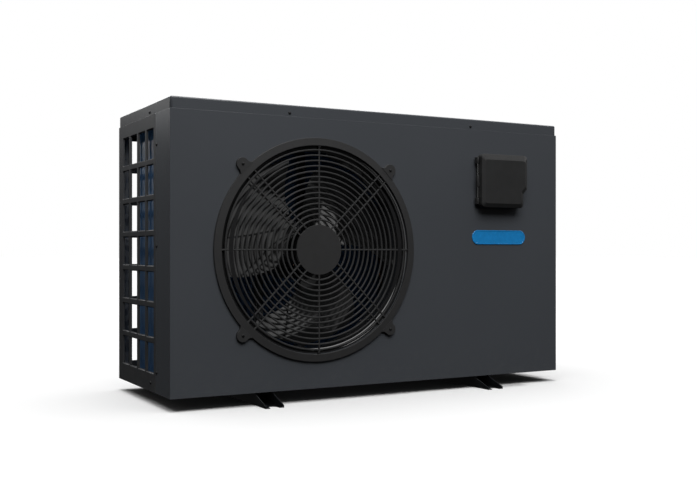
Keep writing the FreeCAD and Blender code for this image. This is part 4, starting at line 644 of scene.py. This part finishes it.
def mouth_hoop():
    """Glossy black hoop that lines the drawn mouth around the fan."""
    lo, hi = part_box("fan_guard")
    centre = (lo + hi) / 2
    front = hi.y
    rounded, lip, sweep, steps, throat_depth = 12, 215, 82, 12, 59 * MM
    face_gap, wall_gap = 0.3, 0.1
    inside, outside = [], []
    for step in range(steps + 1):
        turn = math.radians(180 + sweep * step / steps)
        for radius, row in ((rounded + face_gap, inside), (rounded + wall_gap, outside)):
            row.append(((lip + radius * math.cos(turn)) * MM,
                        front + (rounded + radius * math.sin(turn)) * MM))
    throat = front + throat_depth
    section = [(inside[0][0], throat)] + inside + outside[::-1] + [(outside[0][0], throat)]
    mesh = bmesh.new()
    lathe(mesh, section, centre, steps=192)
    piece("mouth_hoop", mesh, "fan_plastic", smooth=40)


guard()
mouth_hoop()


# ---------------------------------------------------------------- studio

def stage_item(name, mesh, material):
    """Object of the studio, made from a bmesh."""
    made = bpy.data.meshes.new(name)
    mesh.to_mesh(made)
    mesh.free()
    made.materials.append(material)
    item = bpy.data.objects.new(name, made)
    bpy.context.scene.collection.objects.link(item)
    return item


def white_floor():
    """Matt white floor that shows to the camera but reflects nothing into the unit."""
    material, _, shader, _ = new_material("floor_white")
    shader.inputs["Base Color"].default_value = (0.8, 0.8, 0.8, 1)
    shader.inputs["Roughness"].default_value = 0.9
    shader.inputs["Specular IOR Level"].default_value = 0.0
    mesh = bmesh.new()
    bmesh.ops.create_grid(mesh, x_segments=1, y_segments=1, size=40)
    floor = stage_item("floor", mesh, material)
    floor.visible_glossy = False
    floor.visible_diffuse = False
    return floor


def white_backdrop():
    """White dome that only the camera sees."""
    material = bpy.data.materials.new("backdrop_white")
    material.use_nodes = True
    tree = material.node_tree
    tree.nodes.clear()
    glow = tree.nodes.new("ShaderNodeEmission")
    glow.inputs["Strength"].default_value = 1.0
    out = tree.nodes.new("ShaderNodeOutputMaterial")
    tree.links.new(glow.outputs[0], out.inputs["Surface"])
    mesh = bmesh.new()
    bmesh.ops.create_uvsphere(mesh, u_segments=48, v_segments=24, radius=38)
    dome = stage_item("backdrop", mesh, material)
    for ray in ("visible_diffuse", "visible_glossy", "visible_transmission",
                "visible_volume_scatter", "visible_shadow"):
        setattr(dome, ray, False)


def dim_sky():
    """World light that grows slowly from nearly black below to dark grey overhead."""
    world = bpy.data.worlds.new("studio")
    bpy.context.scene.world = world
    world.use_nodes = True
    tree = world.node_tree
    tree.nodes.clear()
    out = tree.nodes.new("ShaderNodeOutputWorld")
    background = tree.nodes.new("ShaderNodeBackground")
    tree.links.new(background.outputs[0], out.inputs[0])
    where = tree.nodes.new("ShaderNodeTexCoord").outputs["Generated"]
    split = tree.nodes.new("ShaderNodeSeparateXYZ")
    tree.links.new(where, split.inputs[0])
    level = remap(tree, split.outputs["Z"], 0.0, 1.0, -1.0, 1.0)
    grey = [(0.0, 0.015), (0.45, 0.02), (0.56, 0.05), (0.75, 0.1), (1.0, 0.12)]
    sky = ramp(tree, level, [(place, (value,) * 3) for place, value in grey])
    tree.links.new(sky, background.inputs["Color"])
    background.inputs["Strength"].default_value = 1.0


def link_group(name, items, state):
    """Collection that leaves items out of a lamp's light or shadows, or keeps it to them."""
    group = bpy.data.collections.new(name)
    for item in items:
        group.objects.link(item)
    for link in group.collection_objects:
        link.light_linking.link_state = state
    return group


def lamp(name, spot, target, power, size=None, spread=0.0, skip=(), only=None, shades=(),
         tint=(1, 1, 1)):
    """Lamp aimed at a point: an area lamp with a size in metres, or else a sun with a
    spread in degrees. Objects in skip don't receive its light. With only, it lights just
    that object, and nothing shades it but the object itself and those in shades."""
    data = bpy.data.lights.new(name, "AREA" if size else "SUN")
    data.energy = power
    data.color = tint
    if size:
        data.shape = "RECTANGLE"
        data.size, data.size_y = size
    else:
        data.angle = math.radians(spread)
    item = bpy.data.objects.new(name, data)
    item.location = spot
    aim = Vector(target) - Vector(spot)
    item.rotation_euler = aim.to_track_quat("-Z", "Y").to_euler()
    item.visible_camera = False
    bpy.context.scene.collection.objects.link(item)
    if skip:
        item.light_linking.receiver_collection = link_group(name + "_skip", skip, "EXCLUDE")
    if only is not None:
        lit = link_group(name + "_only", (only,), "INCLUDE")
        block = link_group(name + "_shades", (only, *shades), "INCLUDE")
        item.light_linking.receiver_collection = lit
        item.light_linking.blocker_collection = block


def lights(floor):
    """Even light from overhead, soft fills around, and lamps that stand in for the
    reflections on the fan, in its mouth and on the coil."""
    rails = (nodes["foot_rail_left"], nodes["foot_rail_right"])
    blades, grille, lid = nodes["fan_blades"], nodes["left_grille"], nodes["top_lid"]
    coil = bpy.data.objects["coil_fins"]
    rings = bpy.data.objects["guard_rings"]
    hoop = bpy.data.objects["mouth_hoop"]

    overhead, ground = (0, 0, 6), (0, 0, 0)
    lamp("key", overhead, ground, 1.26, spread=2.5, skip=rails)
    lamp("dome_light", overhead, ground, 2.7, spread=80, skip=rails)

    middle = (0, 0, 0.3)
    lamp("front_fill", (-0.5, -2.4, 2.6), middle, 98, (3, 1.5), skip=(floor, blades, *rails))
    lamp("right_fill", (3.0, 0.2, 2.2), middle, 60, (2.5, 1.5), skip=(floor,))
    lamp("rear_fill", (0.6, 3.0, 2.4), middle, 70, (3, 1.5), skip=(floor,))
    lamp("left_strip", (-2.9, 4.5, 2.9), middle, 26, (4, 3.4), skip=(floor, coil))
    lamp("left_top", (-0.64, 0.05, 0.84), (-0.5, 0.05, 0.4), 1.4, (0.15, 0.5),
         skip=(floor, coil, lid))

    fan = Vector((-0.183, -0.12, 0.31))
    for name, offset, power, size, only, shades in (
            ("blade_low", (0.38, -0.99, -0.62), 12, (2.0, 2.0), blades, (rings,)),
            ("blade_side", (1.03, -0.58, -0.52), 0.48, (0.6, 0.6), blades, (rings,)),
            ("blade_front", (-0.12, -1.50, 1.33), 5.6, (0.85, 1.0), blades, (rings,)),
            ("coil_front", (0.15, -1.35, 0.3), 3.0, (1.0, 1.0), coil, ()),
            ("mouth_side", (0.29, -1.46, -0.17), 0.6, (0.3, 0.5), hoop, (rings,))):
        lamp(name, fan + Vector(offset), fan, power, size, only=only, shades=shades)
    lamp("coil_left", (-0.9, -0.1, 0.5), (-0.475, 0, 0.35), 0.25, (0.3, 0.3), only=coil)
    lamp("coil_sheen", (-0.68, 0.12, 0.66), (-0.475, 0, 0.5), 2.2, (0.04, 0.04), only=coil,
         shades=(grille,), tint=(1, 0.45, 0.22))
    lamp("mouth_low", (-0.10, -0.11, 0.38), (-0.046, -0.16, 0.147), 0.22, (0.3, 0.06),
         only=hoop)


def camera():
    """Level camera from the front, on the coil's side."""
    data = bpy.data.cameras.new("camera")
    data.lens = 50
    data.sensor_width = 36
    item = bpy.data.objects.new("camera", data)
    item.location = (-1.08927, -1.95613, 0.31006)
    item.rotation_euler = (math.radians(90), 0, math.radians(-28.776))
    bpy.context.scene.collection.objects.link(item)
    bpy.context.scene.camera = item


dim_sky()
white_backdrop()
lights(white_floor())
camera()
bpy.context.scene.view_settings.view_transform = "Standard"
